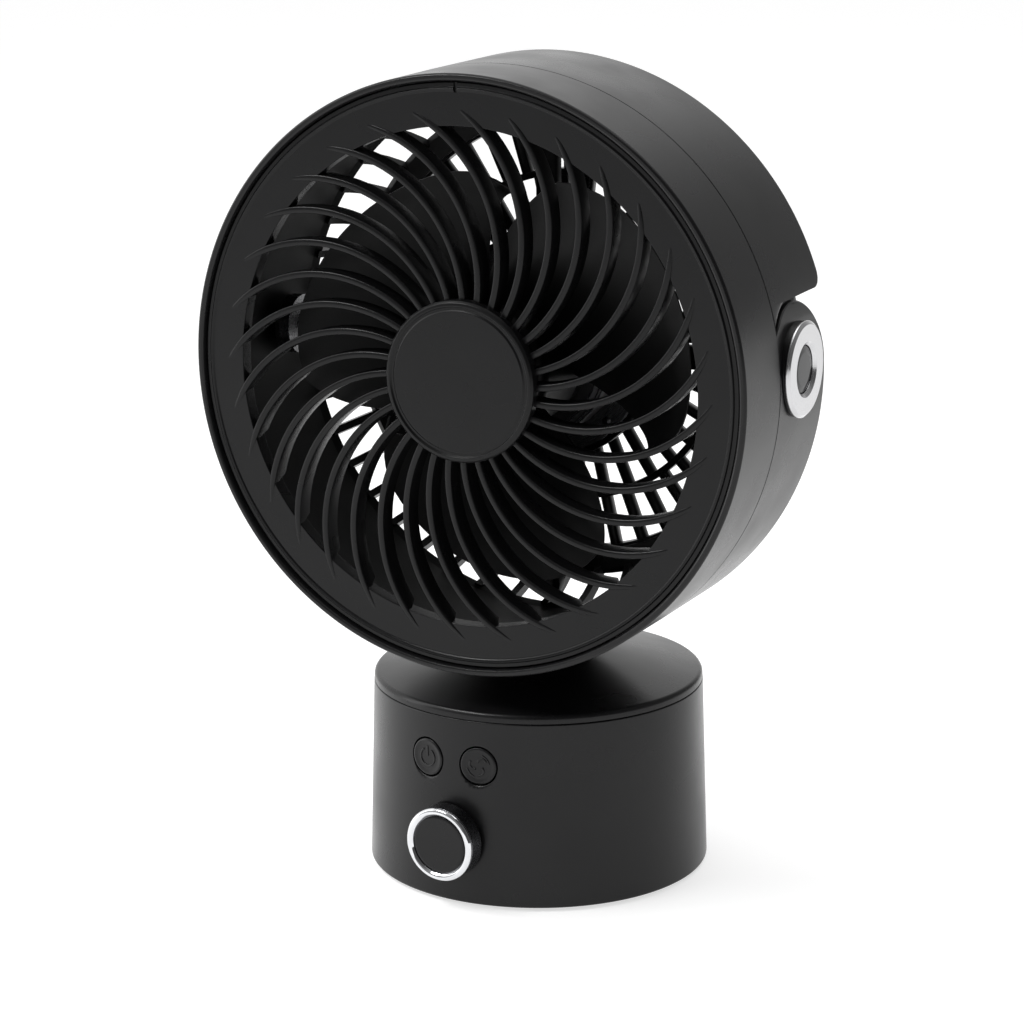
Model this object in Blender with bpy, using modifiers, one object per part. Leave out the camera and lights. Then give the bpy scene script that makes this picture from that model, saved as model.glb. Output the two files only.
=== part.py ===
"""Desk fan: a round head that tilts in a U-shaped yoke, on a drum base that swings it from side to side.

Lengths below are in millimetres and every helper turns them into metres. The origin is the centre of
the base's underside, +Z is up and the head blows towards -Y. A turned part is drawn as (radius, height)
points along its own axis, and its outer side runs from the top of that axis down.
"""

import math

import bmesh
import bpy
from mathutils import Vector

MM = 0.001
GAP = 0.3

# Base
BASE_FOOT_R = 60.0
BASE_TOP_R = 58.0
BASE_TOP_Z = 66.0
BASE_WALL = 2.2
DECK_Z = 59.8
DECK_THICK = 2.4
PAD_THICK = 1.6
PLATE_BOTTOM_Z = PAD_THICK + GAP
PLATE_THICK = 4.0
POST_R = 50.5
POST_ANGLES = (-140, -40, 45, 135)

# Controls, on an axis turned slightly from the head's
PANEL_AZIMUTH = -5.0
BUTTON_SPREAD = 10.0
BUTTON_Z = 50.4
BUTTON_R = 6.5
DIAL_Z = 23.4
DIAL_R = 13.0
BOARD_Y = 43.0

# Turntable and its drive
COVER_BOTTOM_Z = BASE_TOP_Z + 0.35
COVER_SLOPE = math.radians(12.5)
COVER_ROUND = 3.0
SPINDLE_R = 9.0
GEAR_TEETH = 48
PINION_TEETH = 16
GEAR_MODULE = 1.0
GEAR_Z = 62.8
GEAR_THICK = 3.2
DRIVE_Y = (GEAR_TEETH + PINION_TEETH) * GEAR_MODULE / 2 + GAP

# Yoke and tilt axis
HEAD_Z = 183.1
HEAD_R = 101.2
SEAM_Y = -29.6
YOKE_BACK_Y = 10.9
YOKE_WALL = 3.9
PIVOT_Y = -11.4
PIVOT_Z = 187.1
ARM_TOP_R = 22.3
AXLE_R = 6.0
PIVOT_RING_R = 16.1
PIVOT_FACE_X = 103.3

# Head, in heights forward of the base's axis
LIP_H = 58.6
GRILLE_BACK_H = 49.0
GRILLE_THICK = 8.0
GRILLE_R = 97.9
HUB_R = 27.2
RIB_COUNT = 32
RIB_THICK = 2.2
RIB_ARC_R = 50.6
RIB_ARC_CENTRE = 55.5
RIB_ARC_ANGLE = 8.8
RIB_INNER_R = 28.4
RIB_OUTER_R = 83.7
DRUM_R = 95.5
DRUM_WALL = 2.2
REAR_GRILLE_R = 79.5
REAR_GRILLE_H = -31.3
REAR_GRILLE_THICK = 4.0

# Fan and motor
BLADE_COUNT = 3
BLADE_WIDTH = 101.0
SHOULDER_WINDOWS = 44
BLADE_TIP_R = 76.0
BLADE_FIRST = 332.7
SHAFT_R = 4.0
MOTOR_R = 30.0
BRACKET_H = -12.0
BRACKET_THICK = 5.0
BRACKET_R = 90.4
BRACKET_SCREW_R = 85.6

UP = (0, 0, 0)
FORWARD = (math.pi / 2, 0, 0)
BACKWARD = (-math.pi / 2, 0, 0)
RIGHT = (0, math.pi / 2, 0)
LEFT = (0, -math.pi / 2, 0)
SIDE_PLANE = (math.pi / 2, 0, math.pi / 2)

for leftover in list(bpy.data.objects):
    bpy.data.objects.remove(leftover)
PARTS = bpy.data.collections.new("desk_fan")
CUTTERS = bpy.data.collections.new("cutters")
bpy.context.scene.collection.children.link(PARTS)
bpy.context.scene.collection.children.link(CUTTERS)


def finish(name, colour, roughness, metallic=0.0):
    """A plain Principled material."""
    material = bpy.data.materials.new(name)
    material.use_nodes = True
    shader = material.node_tree.nodes["Principled BSDF"]
    shader.inputs["Base Color"].default_value = (*colour, 1.0)
    shader.inputs["Roughness"].default_value = roughness
    shader.inputs["Metallic"].default_value = metallic
    material.diffuse_color = (*colour, 1.0)
    return material


BLACK = finish("satin_black_plastic", (0.030, 0.030, 0.032), 0.45)
DARK = finish("matte_black_plastic", (0.018, 0.018, 0.019), 0.60)
GLOSS = finish("gloss_black_plastic", (0.012, 0.012, 0.013), 0.12)
CHROME = finish("chrome", (0.80, 0.80, 0.81), 0.12, 1.0)
STEEL = finish("steel", (0.56, 0.56, 0.55), 0.35, 1.0)
IRON = finish("cast_iron", (0.16, 0.16, 0.17), 0.60, 1.0)
COPPER = finish("wound_copper", (0.60, 0.30, 0.15), 0.40, 1.0)
RUBBER = finish("rubber", (0.03, 0.03, 0.03), 0.90)
GREEN = finish("circuit_board", (0.02, 0.16, 0.07), 0.50)
NYLON = finish("white_nylon", (0.75, 0.75, 0.72), 0.50)


def place(obj, material, at=(0, 0, 0), turn=UP, parent=None, collection=PARTS):
    """Links an object, gives it its material, and puts it at a point in its parent's frame."""
    if material is not None:
        obj.data.materials.append(material)
    collection.objects.link(obj)
    obj.location = [value * MM for value in at]
    obj.rotation_euler = turn
    obj.parent = parent
    if collection is CUTTERS:
        obj.hide_render = True
        obj.display_type = "WIRE"
    return obj


def axis_point(name, at, turn=UP, parent=None):
    """An empty on a joint's axis."""
    empty = bpy.data.objects.new(name, None)
    return place(empty, None, at, turn, parent)


def turned(name, profile, material, at=(0, 0, 0), turn=UP, parent=None, collection=PARTS, steps=20):
    """A profile of (radius, height) points swept round its own Z axis."""
    points = [(radius * MM, 0.0, height * MM) for radius, height in profile]
    edges = [(i, i + 1) for i in range(len(points) - 1)]
    if profile[0][0] > 0:
        edges.append((len(points) - 1, 0))
    mesh = bpy.data.meshes.new(name)
    mesh.from_pydata(points, edges, [])
    obj = place(bpy.data.objects.new(name, mesh), material, at, turn, parent, collection)
    screw = obj.modifiers.new("turn", "SCREW")
    screw.steps = steps
    screw.render_steps = steps
    screw.use_merge_vertices = True
    screw.merge_threshold = 0.00001
    screw.use_smooth_shade = True
    return obj


def disc(radius, low, high):
    """The profile of a solid cylinder."""
    return [(0, high), (radius, high), (radius, low), (0, low)]


def ring(inner, outer, low, high):
    """The profile of a plain ring."""
    return [(outer, high), (outer, low), (inner, low), (inner, high)]


def box(name, size, material, at=(0, 0, 0), parent=None, bevel=0.0):
    """A block with its edges rounded."""
    mesh = bpy.data.meshes.new(name)
    shape = bmesh.new()
    bmesh.ops.create_cube(shape, size=1.0)
    bmesh.ops.scale(shape, vec=[value * MM for value in size], verts=shape.verts)
    shape.to_mesh(mesh)
    shape.free()
    obj = place(bpy.data.objects.new(name, mesh), material, at, UP, parent)
    if bevel:
        rounding = obj.modifiers.new("edges", "BEVEL")
        rounding.width = bevel * MM
        rounding.segments = 2
    return obj


def polar(radius, degrees):
    """The point at a radius and an angle."""
    angle = math.radians(degrees)
    return (radius * math.cos(angle), radius * math.sin(angle))


def arc(radius, start, end, steps, centre=(0, 0)):
    """Points on an arc, from and to angles in degrees."""
    angles = [math.radians(start + (end - start) * i / steps) for i in range(steps + 1)]
    return [(centre[0] + radius * math.cos(a), centre[1] + radius * math.sin(a)) for a in angles]


def circle(radius, steps, centre=(0, 0)):
    return arc(radius, 0, 360, steps, centre)[:-1]


def slot_outline(inner, outer, width, degrees):
    """A straight radial slot of one width, turned to an angle."""
    along = Vector(polar(1, degrees))
    across = Vector((-along.y, along.x)) * width / 2
    return [along * inner - across, along * outer - across, along * outer + across, along * inner + across]


def outlined(name, outlines, thick, material, at=(0, 0, 0), turn=UP, parent=None, collection=PARTS):
    """A flat plate: the first outline is its edge and the others are holes in it."""
    curve = bpy.data.curves.new(name, "CURVE")
    curve.dimensions = "2D"
    curve.fill_mode = "BOTH"
    curve.extrude = thick * MM / 2
    for outline in outlines:
        spline = curve.splines.new("POLY")
        spline.points.add(len(outline) - 1)
        for point, (x, y) in zip(spline.points, outline):
            point.co = (x * MM, y * MM, 0.0, 1.0)
        spline.use_cyclic_u = True
    return place(bpy.data.objects.new(name, curve), material, at, turn, parent, collection)


def made_mesh(obj):
    """The same object as a welded mesh, so that it can be cut or joined."""
    bpy.context.view_layer.update()
    graph = bpy.context.evaluated_depsgraph_get()
    mesh = bpy.data.meshes.new_from_object(obj.evaluated_get(graph))
    shape = bmesh.new()
    shape.from_mesh(mesh)
    bmesh.ops.remove_doubles(shape, verts=shape.verts, dist=0.000001)
    bmesh.ops.recalc_face_normals(shape, faces=shape.faces)
    shape.to_mesh(mesh)
    shape.free()
    name = obj.name
    solid = bpy.data.objects.new(name, mesh)
    for collection in obj.users_collection:
        collection.objects.link(solid)
    solid.hide_render = obj.hide_render
    solid.display_type = obj.display_type
    solid.parent = obj.parent
    solid.matrix_local = obj.matrix_local.copy()
    bpy.data.objects.remove(obj)
    solid.name = name
    return solid


def combine(obj, others, operation):
    """Adds Booleans to obj, one for each cutter."""
    for other in others:
        change = obj.modifiers.new(operation.lower(), "BOOLEAN")
        change.operation = operation
        change.solver = "EXACT"
        change.object = other
    return obj


def shading_by_angle(degrees=35):
    """A node group that smooths a mesh and keeps its sharper edges sharp."""
    group = bpy.data.node_groups.new("shade_by_angle", "GeometryNodeTree")
    group.interface.new_socket("Geometry", in_out="INPUT", socket_type="NodeSocketGeometry")
    group.interface.new_socket("Geometry", in_out="OUTPUT", socket_type="NodeSocketGeometry")
    source = group.nodes.new("NodeGroupInput")
    faces = group.nodes.new("GeometryNodeSetShadeSmooth")
    edges = group.nodes.new("GeometryNodeSetShadeSmooth")
    edges.domain = "EDGE"
    edges.inputs["Shade Smooth"].default_value = False
    bend = group.nodes.new("GeometryNodeInputMeshEdgeAngle")
    sharp = group.nodes.new("FunctionNodeCompare")
    sharp.operation = "GREATER_THAN"
    sharp.inputs["B"].default_value = math.radians(degrees)
    result = group.nodes.new("NodeGroupOutput")
    group.links.new(source.outputs[0], faces.inputs["Geometry"])
    group.links.new(faces.outputs[0], edges.inputs["Geometry"])
    group.links.new(bend.outputs["Unsigned Angle"], sharp.inputs["A"])
    group.links.new(sharp.outputs["Result"], edges.inputs["Selection"])
    group.links.new(edges.outputs[0], result.inputs[0])
    return group


def gear_outline(teeth, phase=0.0):
    """A spur gear with straight-flanked teeth, thin enough to run with backlash."""
    pitch_r = teeth * GEAR_MODULE / 2
    tip_r = pitch_r + 0.8 * GEAR_MODULE
    root_r = pitch_r - 1.1 * GEAR_MODULE
    points = []
    for tooth in range(teeth):
        centre = phase + 360 * tooth / teeth
        for radius, half in ((root_r, -0.95), (tip_r, -0.35), (tip_r, 0.35), (root_r, 0.95)):
            points.append(polar(radius, centre + math.degrees(half / pitch_r)))
    return points


def screw_fastener(name, head_low, head_high, tip, head_r, shank_r, material, at, turn, parent):
    """A pan-head screw whose shank points down its own axis."""
    profile = [(0, head_high), (head_r * 0.75, head_high), (head_r, head_high - 0.5), (head_r, head_low)]
    profile += [(shank_r, head_low), (shank_r, tip + 0.8), (0, tip)]
    return turned(name, profile, material, at, turn, parent, steps=10)


def wall_radius(height):
    """The base's outer radius at a height."""
    return BASE_FOOT_R + (BASE_TOP_R - BASE_FOOT_R) * height / BASE_TOP_Z


def hole_cutter(name, radius, low, high, at, turn, parent=None):
    return turned(name, disc(radius, low, high), None, at, turn, parent, CUTTERS, steps=max(12, int(3 * radius)))


def build_base(panel, button_axes):
    inner_foot = wall_radius(1.0) - BASE_WALL
    inner_deck = wall_radius(DECK_Z) - BASE_WALL
    deck_top = DECK_Z + DECK_THICK
    turned("nonslip_pad", [(0, PAD_THICK), (56.6, PAD_THICK), (56.6, 0.4), (56.2, 0), (0, 0)], RUBBER)

    shell = turned("base_shell", [
        (BASE_TOP_R, BASE_TOP_Z), (wall_radius(1.6), 1.6), (wall_radius(1.0) - 0.6, 1.0),
        (inner_foot, 1.0), (inner_deck, DECK_Z), (SPINDLE_R + 0.4, DECK_Z), (SPINDLE_R + 0.4, deck_top),
        (BASE_TOP_R - 2.6, deck_top), (BASE_TOP_R - 2.6, BASE_TOP_Z),
    ], BLACK, steps=48)
    plate_top = PLATE_BOTTOM_Z + PLATE_THICK
    posts = [turned(f"post_{i}", disc(4.0, plate_top + 0.2, DECK_Z + 1.0), None, (*polar(POST_R, a), 0),
                    collection=CUTTERS, steps=12) for i, a in enumerate(POST_ANGLES)]
    bores = [hole_cutter(f"post_bore_{i}", 1.6, 1.0, 20.0, (*polar(POST_R, a), 0), UP)
             for i, a in enumerate(POST_ANGLES)]
    openings = [hole_cutter(f"button_opening_{i}", BUTTON_R + 0.35, 50, 64, (0, 0, 0), FORWARD, axis)
                for i, axis in enumerate(button_axes)]
    openings.append(hole_cutter("dial_opening", 4.0, 50, 64, (0, 0, DIAL_Z), FORWARD, panel))
    openings.append(hole_cutter("inlet_opening", 5.3, 50, 64, (0, 0, 14), BACKWARD))
    openings.append(hole_cutter("pinion_opening", 3.2, 55, 65, (0, DRIVE_Y, 0), UP))
    combine(shell, posts, "UNION")
    combine(shell, bores + openings, "DIFFERENCE")

    plate = turned("bottom_plate", [
        (0, plate_top - 1.5), (38, plate_top - 1.5), (40, plate_top), (57.1, plate_top),
        (57.1, PLATE_BOTTOM_Z), (0, PLATE_BOTTOM_Z),
    ], DARK, steps=32)
    for i, angle in enumerate(POST_ANGLES):
        at = (*polar(POST_R, angle), 0)
        stepped = [(0, 10), (1.8, 10), (1.8, PLATE_BOTTOM_Z + 2.2), (3.4, PLATE_BOTTOM_Z + 2.2)]
        stepped += [(3.4, 0.5), (0, 0.5)]
        combine(plate, [turned(f"screw_seat_{i}", stepped, None, at, collection=CUTTERS, steps=12)],
                "DIFFERENCE")
        screw_fastener(f"bottom_screw_{i + 1}", -4.0, -2.1, -16, 3.0, 1.3, STEEL, at,
                       (math.pi, 0, 0), None)
    turned("ballast_weight", ring(7, 44, plate_top + GAP, plate_top + 7.3), IRON)

    box("control_board", (60, 1.6, 42), GREEN, (0, -BOARD_Y, 37), panel)
    box("dial_encoder", (12, 6, 12), DARK, (0, -BOARD_Y - 4.1, DIAL_Z), panel, 0.4)
    for side, name in ((-1, "power_switch"), (1, "fan_switch")):
        x = side * (BOARD_Y + 3) * math.tan(math.radians(BUTTON_SPREAD))
        box(name, (6, 3.4, 6), DARK, (x, -BOARD_Y - 2.8, BUTTON_Z), panel, 0.3)
    turned("power_inlet", [(0, 50), (2.8, 50), (2.8, 59.4), (5.0, 59.4), (5.0, 48), (0, 48)], DARK,
           (0, 0, 14), BACKWARD)
    turned("oscillation_motor", disc(17.0, 42.0, 59.3), STEEL, (0, DRIVE_Y, 0))
    turned("turntable_bearing", ring(46, 51, deck_top + GAP, BASE_TOP_Z), NYLON)


def build_controls(dial_axis, button_axes):
    for axis, name in zip(button_axes, ("power_button", "fan_button")):
        face = wall_radius(BUTTON_Z) - 0.1
        profile = [(0, face + 0.1), (4.0, face), (BUTTON_R - 0.4, face - 0.25), (BUTTON_R, face - 0.6)]
        profile += [(BUTTON_R, face - 2.0), (3.0, face - 2.0), (3.0, 50.2), (0, 50.2)]
        turned(name, profile, BLACK, turn=FORWARD, parent=axis, steps=24)
    turned("dial_knob", [
        (0, 66.2), (12.0, 66.2), (12.6, 65.6), (DIAL_R, 60.4), (12.6, 59.9),
        (3.3, 59.9), (3.3, 65.0), (0, 65.0),
    ], GLOSS, turn=FORWARD, parent=dial_axis, steps=28)
    turned("dial_ring", [
        (10.9, 67.5), (12.2, 67.5), (12.9, 66.9), (12.9, 66.5), (10.3, 66.5), (10.3, 67.1),
    ], CHROME, turn=FORWARD, parent=dial_axis, steps=28)
    turned("dial_face", disc(10.0, 66.5, 67.0), BLACK, turn=FORWARD, parent=dial_axis)
    turned("dial_shaft", disc(3.0, 50.5, 64.7), STEEL, turn=FORWARD, parent=dial_axis, steps=16)


def build_turntable(pan, drive):
    cover_rim_z = COVER_BOTTOM_Z + 0.35
    shoulder_x = BASE_TOP_R - COVER_ROUND
    rounding = [(shoulder_x + COVER_ROUND * math.sin(a), cover_rim_z + COVER_ROUND * math.cos(a))
                for a in [COVER_SLOPE + (math.pi / 2 - COVER_SLOPE) * i / 4 for i in range(5)]]
    slope = math.tan(COVER_SLOPE)
    edge_r, edge_z = rounding[0]
    neck_r = 17.4
    neck_z = edge_z + (edge_r - neck_r) * slope
    inner_r = 44.0
    inner_z = edge_z + (edge_r - inner_r) * slope - BASE_WALL * 1.1
    turned("turntable_cover", [
        (neck_r, neck_z), *rounding, (BASE_TOP_R, COVER_BOTTOM_Z), (inner_r, COVER_BOTTOM_Z),
        (inner_r, inner_z), (neck_r, neck_z - BASE_WALL * 1.1),
    ], BLACK, parent=pan, steps=48)
    turned("yoke_spindle", ring(6.0, SPINDLE_R, 48.0, 81.5), STEEL, parent=pan)
    turned("spindle_clip", ring(SPINDLE_R + GAP, 13.6, 56.6, 59.3), STEEL, parent=pan)
    outlined("ring_gear", [gear_outline(GEAR_TEETH), circle(SPINDLE_R + GAP, 24)], GEAR_THICK, NYLON,
             (0, 0, GEAR_Z + GEAR_THICK / 2), parent=pan)
    pinion = made_mesh(outlined("drive_pinion", [gear_outline(PINION_TEETH, 180 / PINION_TEETH)],
                                GEAR_THICK, NYLON, (0, 0, GEAR_Z + GEAR_THICK / 2), parent=drive))
    shaft = turned("pinion_shaft", disc(2.4, 59.6, GEAR_Z + 1.0), None, parent=drive,
                   collection=CUTTERS, steps=12)
    combine(pinion, [shaft], "UNION")
    return neck_z


def arm_reliefs(pan):
    """Cutters that let an arm's tip pass between the drum and the front shell's rim as the head tilts."""
    reliefs = []
    at = (0, PIVOT_Y, PIVOT_Z)
    corner = [(PIVOT_Y - 40, PIVOT_Z), (PIVOT_Y, PIVOT_Z), (PIVOT_Y, PIVOT_Z + 40), (PIVOT_Y - 40, PIVOT_Z + 40)]
    front_corner = made_mesh(outlined("front_corner", [corner], 240, None, turn=SIDE_PLANE, parent=pan,
                                      collection=CUTTERS))
    for i, turn in enumerate((RIGHT, LEFT)):
        reliefs.append(turned(f"tip_inside_{i}", disc(24, 85, DRUM_R + 0.6), None, at, turn, pan, CUTTERS))
        slope = [(30, 110), (30, 96.3), (16.3, 101.2), (16.3, 110)]
        outside = turned(f"tip_outside_{i}", slope, None, at, turn, pan, CUTTERS, 32)
        reliefs.append(combine(outside, [front_corner], "INTERSECT"))
    return reliefs


def build_yoke(pan, neck_z):
    head_centre = (0, 0, HEAD_Z)
    inner_r = HEAD_R - YOKE_WALL
    front_h = -SEAM_Y - 0.15
    back_h = -YOKE_BACK_Y
    band = turned("yoke", [
        (HEAD_R, front_h), (HEAD_R, back_h + 1.5), (HEAD_R - 1.5, back_h), (inner_r, back_h),
        (inner_r, front_h),
    ], BLACK, head_centre, FORWARD, pan, steps=64)
    above = [(-60, PIVOT_Z), *arc(ARM_TOP_R, 180, 0, 16, (PIVOT_Y, PIVOT_Z)), (60, PIVOT_Z)]
    above += [(60, 320), (-60, 320)]
    top = made_mesh(outlined("above_arms", [above], 240, None, turn=SIDE_PLANE, parent=pan,
                             collection=CUTTERS))
    neck = turned("yoke_neck", [
        (19, 84.5), (20, 83.5), (20, neck_z + GAP), (17.1, neck_z + GAP), (17.1, 69),
        (SPINDLE_R + GAP, 69), (SPINDLE_R + GAP, 84.5),
    ], None, parent=pan, collection=CUTTERS, steps=36)
    bosses = [turned(f"pivot_boss_{i}", disc(PIVOT_RING_R - 0.3, 98.2, PIVOT_FACE_X - 1.9), None,
                     (0, PIVOT_Y, PIVOT_Z), turn, pan, CUTTERS, 32) for i, turn in enumerate((RIGHT, LEFT))]
    bore = hole_cutter("axle_bore", AXLE_R + 0.4, -120, 120, (0, PIVOT_Y, PIVOT_Z), RIGHT, pan)
    reliefs = arm_reliefs(pan)
    combine(band, [top, *reliefs], "DIFFERENCE")
    combine(band, [neck, *bosses], "UNION")
    combine(band, [bore], "DIFFERENCE")
    for side, turn in (("right", RIGHT), ("left", LEFT)):
        at = (0, PIVOT_Y, PIVOT_Z)
        face = PIVOT_FACE_X
        turned(f"pivot_ring_{side}", [
            (8.9, face), (15.4, face), (PIVOT_RING_R, face - 0.7), (PIVOT_RING_R, face - 1.6),
            (8.1, face - 1.6), (8.1, face - 0.8),
        ], CHROME, at, turn, pan, steps=28)
        turned(f"pivot_plug_{side}", disc(7.8, face - 1.6, face - 1.0), GLOSS, at, turn, pan)


def rib_side(radius, offset, index):
    """The angle, in degrees, of one side of a rib at a radius: each rib is an arc of one size."""
    arc_r = RIB_ARC_R + offset
    cosine = (radius ** 2 + RIB_ARC_CENTRE ** 2 - arc_r ** 2) / (2 * radius * RIB_ARC_CENTRE)
    return RIB_ARC_ANGLE + 360 * index / RIB_COUNT - math.degrees(math.acos(cosine))


def grille_gaps(steps=4):
    """The openings between the front grille's ribs."""
    radii = [RIB_INNER_R + (RIB_OUTER_R - RIB_INNER_R) * i / steps for i in range(steps + 1)]
    gaps = []
    for index in range(RIB_COUNT):
        near = [polar(r, rib_side(r, -RIB_THICK / 2, index)) for r in radii]
        far = [polar(r, rib_side(r, RIB_THICK / 2, index + 1)) for r in reversed(radii)]
        gaps.append(near + far)
    return gaps


def slot_row(count, inner, outer, bar):
    """Radial slots with straight bars of one width between them."""
    gaps = []
    for index in range(count):
        centre = 360 * (index + 0.5) / count
        corners = []
        for radius, side in ((inner, -1), (outer, -1), (outer, 1), (inner, 1)):
            half = 180 / count - math.degrees(bar / 2 / radius)
            corners.append(polar(radius, centre + side * half))
        gaps.append(corners)
    return gaps


def build_housing(tilt):
    centre = (0, -PIVOT_Y, HEAD_Z - PIVOT_Z)
    seam_h = -SEAM_Y
    ledge_h = GRILLE_BACK_H - 0.4
    turned("front_shell", [
        (99.6, LIP_H), (100.6, LIP_H - 0.4), (101.0, LIP_H - 1.4), (HEAD_R, seam_h + 0.15),
        (100.8, seam_h + 0.15), (99.5, seam_h + 4.4), (98.6, seam_h + 4.8), (98.6, ledge_h - 2),
        (94.2, ledge_h - 2), (94.2, ledge_h),
        (GRILLE_R + 0.4, ledge_h), (GRILLE_R + 0.4, LIP_H - 0.5), (98.8, LIP_H),
    ], BLACK, centre, FORWARD, tilt, steps=64)
    at = (0, centre[1] - GRILLE_BACK_H - GRILLE_THICK / 2, centre[2])
    outlined("front_grille", [circle(GRILLE_R, 64), *grille_gaps()], GRILLE_THICK, BLACK, at, FORWARD, tilt)
    hub_h = GRILLE_BACK_H + GRILLE_THICK + GAP
    turned("hub_cap", [
        (0, hub_h + 3.2), (25.6, hub_h + 3.2), (26.8, hub_h + 2.7), (HUB_R, hub_h + 1.7), (HUB_R, hub_h),
        (0, hub_h),
    ], BLACK, centre, FORWARD, tilt, steps=36)

    drum_inner = DRUM_R - DRUM_WALL
    rear = turned("rear_shell", [
        (DRUM_R, 44), (DRUM_R, -4), (93.5, -12), (90.0, -20), (85.8, -27), (82.3, -31.5),
        (REAR_GRILLE_R + GAP, -31.5), (REAR_GRILLE_R + GAP, -27.0), (77.2, -27.0), (77.2, -25.2),
        (83.9, -25.2), (87.9, -19), (91.3, -11.2), (drum_inner, -3.6), (drum_inner, 44),
    ], BLACK, centre, FORWARD, tilt, steps=48)
    cowl = turned("upper_cowl", [
        (HEAD_R, seam_h - 0.15), (HEAD_R, -14.8), (100.5, -16.5), (99.4, -17.0), (98.2, -16.2),
        (94.6, -5.5), (94.9, -2.5), (98.6, -12.5), (98.6, 27.2), (94.4, 27.2), (94.4, seam_h - 0.15),
    ], None, centre, FORWARD, tilt, CUTTERS, 48)
    edge_r = ARM_TOP_R + 0.6
    below = [(PIVOT_Y - edge_r, 40), *arc(edge_r, 180, 90, 8, (PIVOT_Y, PIVOT_Z))]
    below += [(60, PIVOT_Z + edge_r), (60, 40)]
    below_arms = made_mesh(outlined("below_cowl", [below], 240, None, (0, -PIVOT_Y, -PIVOT_Z), SIDE_PLANE,
                                    tilt, CUTTERS))
    combine(cowl, [below_arms], "DIFFERENCE")
    bosses = [turned(f"bracket_boss_{i}", disc(3.2, -21.5, BRACKET_H - GAP), None,
                     offset_forward(centre, BRACKET_SCREW_R, a), FORWARD, tilt, CUTTERS, 9)
              for i, a in enumerate((0, 90, 180, 270))]
    pilots = [hole_cutter(f"bracket_pilot_{i}", 1.7, -18.5, BRACKET_H + 2,
                          offset_forward(centre, BRACKET_SCREW_R, a), FORWARD, tilt)
              for i, a in enumerate((0, 90, 180, 270))]
    bore = hole_cutter("drum_axle_bore", AXLE_R + 0.3, -120, 120, (0, 0, 0), RIGHT, tilt)
    turns = [(i + 0.5) * 360 / SHOULDER_WINDOWS for i in range(SHOULDER_WINDOWS)]
    clear = [a for a in turns if min(a % 90, 90 - a % 90) > 7]
    windows = [made_mesh(outlined(f"shoulder_window_{i}", [slot_outline(83.8, 92.2, 5.6, a)], 21, None,
                                  (0, centre[1] + 19.5, centre[2]), FORWARD, tilt, CUTTERS))
               for i, a in enumerate(clear)]
    combine(rear, windows, "DIFFERENCE")
    combine(rear, [cowl, *bosses], "UNION")
    combine(rear, [*pilots, bore], "DIFFERENCE")

    at = (0, centre[1] - REAR_GRILLE_H - REAR_GRILLE_THICK / 2, centre[2])
    rows = slot_row(36, 28, 56.5, 3.8) + slot_row(45, 59, 76, 4.0)
    outlined("rear_grille", [circle(REAR_GRILLE_R, 48), *rows], REAR_GRILLE_THICK, BLACK, at, FORWARD, tilt)

    for side, turn in (("right", RIGHT), ("left", LEFT)):
        turned(f"tilt_axle_{side}", [
            (0, 101.0), (AXLE_R - 0.5, 101.0), (AXLE_R, 100.5), (AXLE_R, 89.8), (10.5, 89.8), (10.5, 86), (0, 86),
        ], STEEL, turn=turn, parent=tilt, steps=20)
        turned(f"friction_washer_{side}", ring(AXLE_R + GAP, 10.0, 90.1, 91.6), RUBBER, turn=turn,
               parent=tilt, steps=20)


def offset_forward(centre, radius, degrees, height=0.0):
    """A point round the head's axis, at a height forward of the base's axis."""
    x, z = polar(radius, degrees)
    return (centre[0] + x, centre[1] - height, centre[2] + z)


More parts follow.
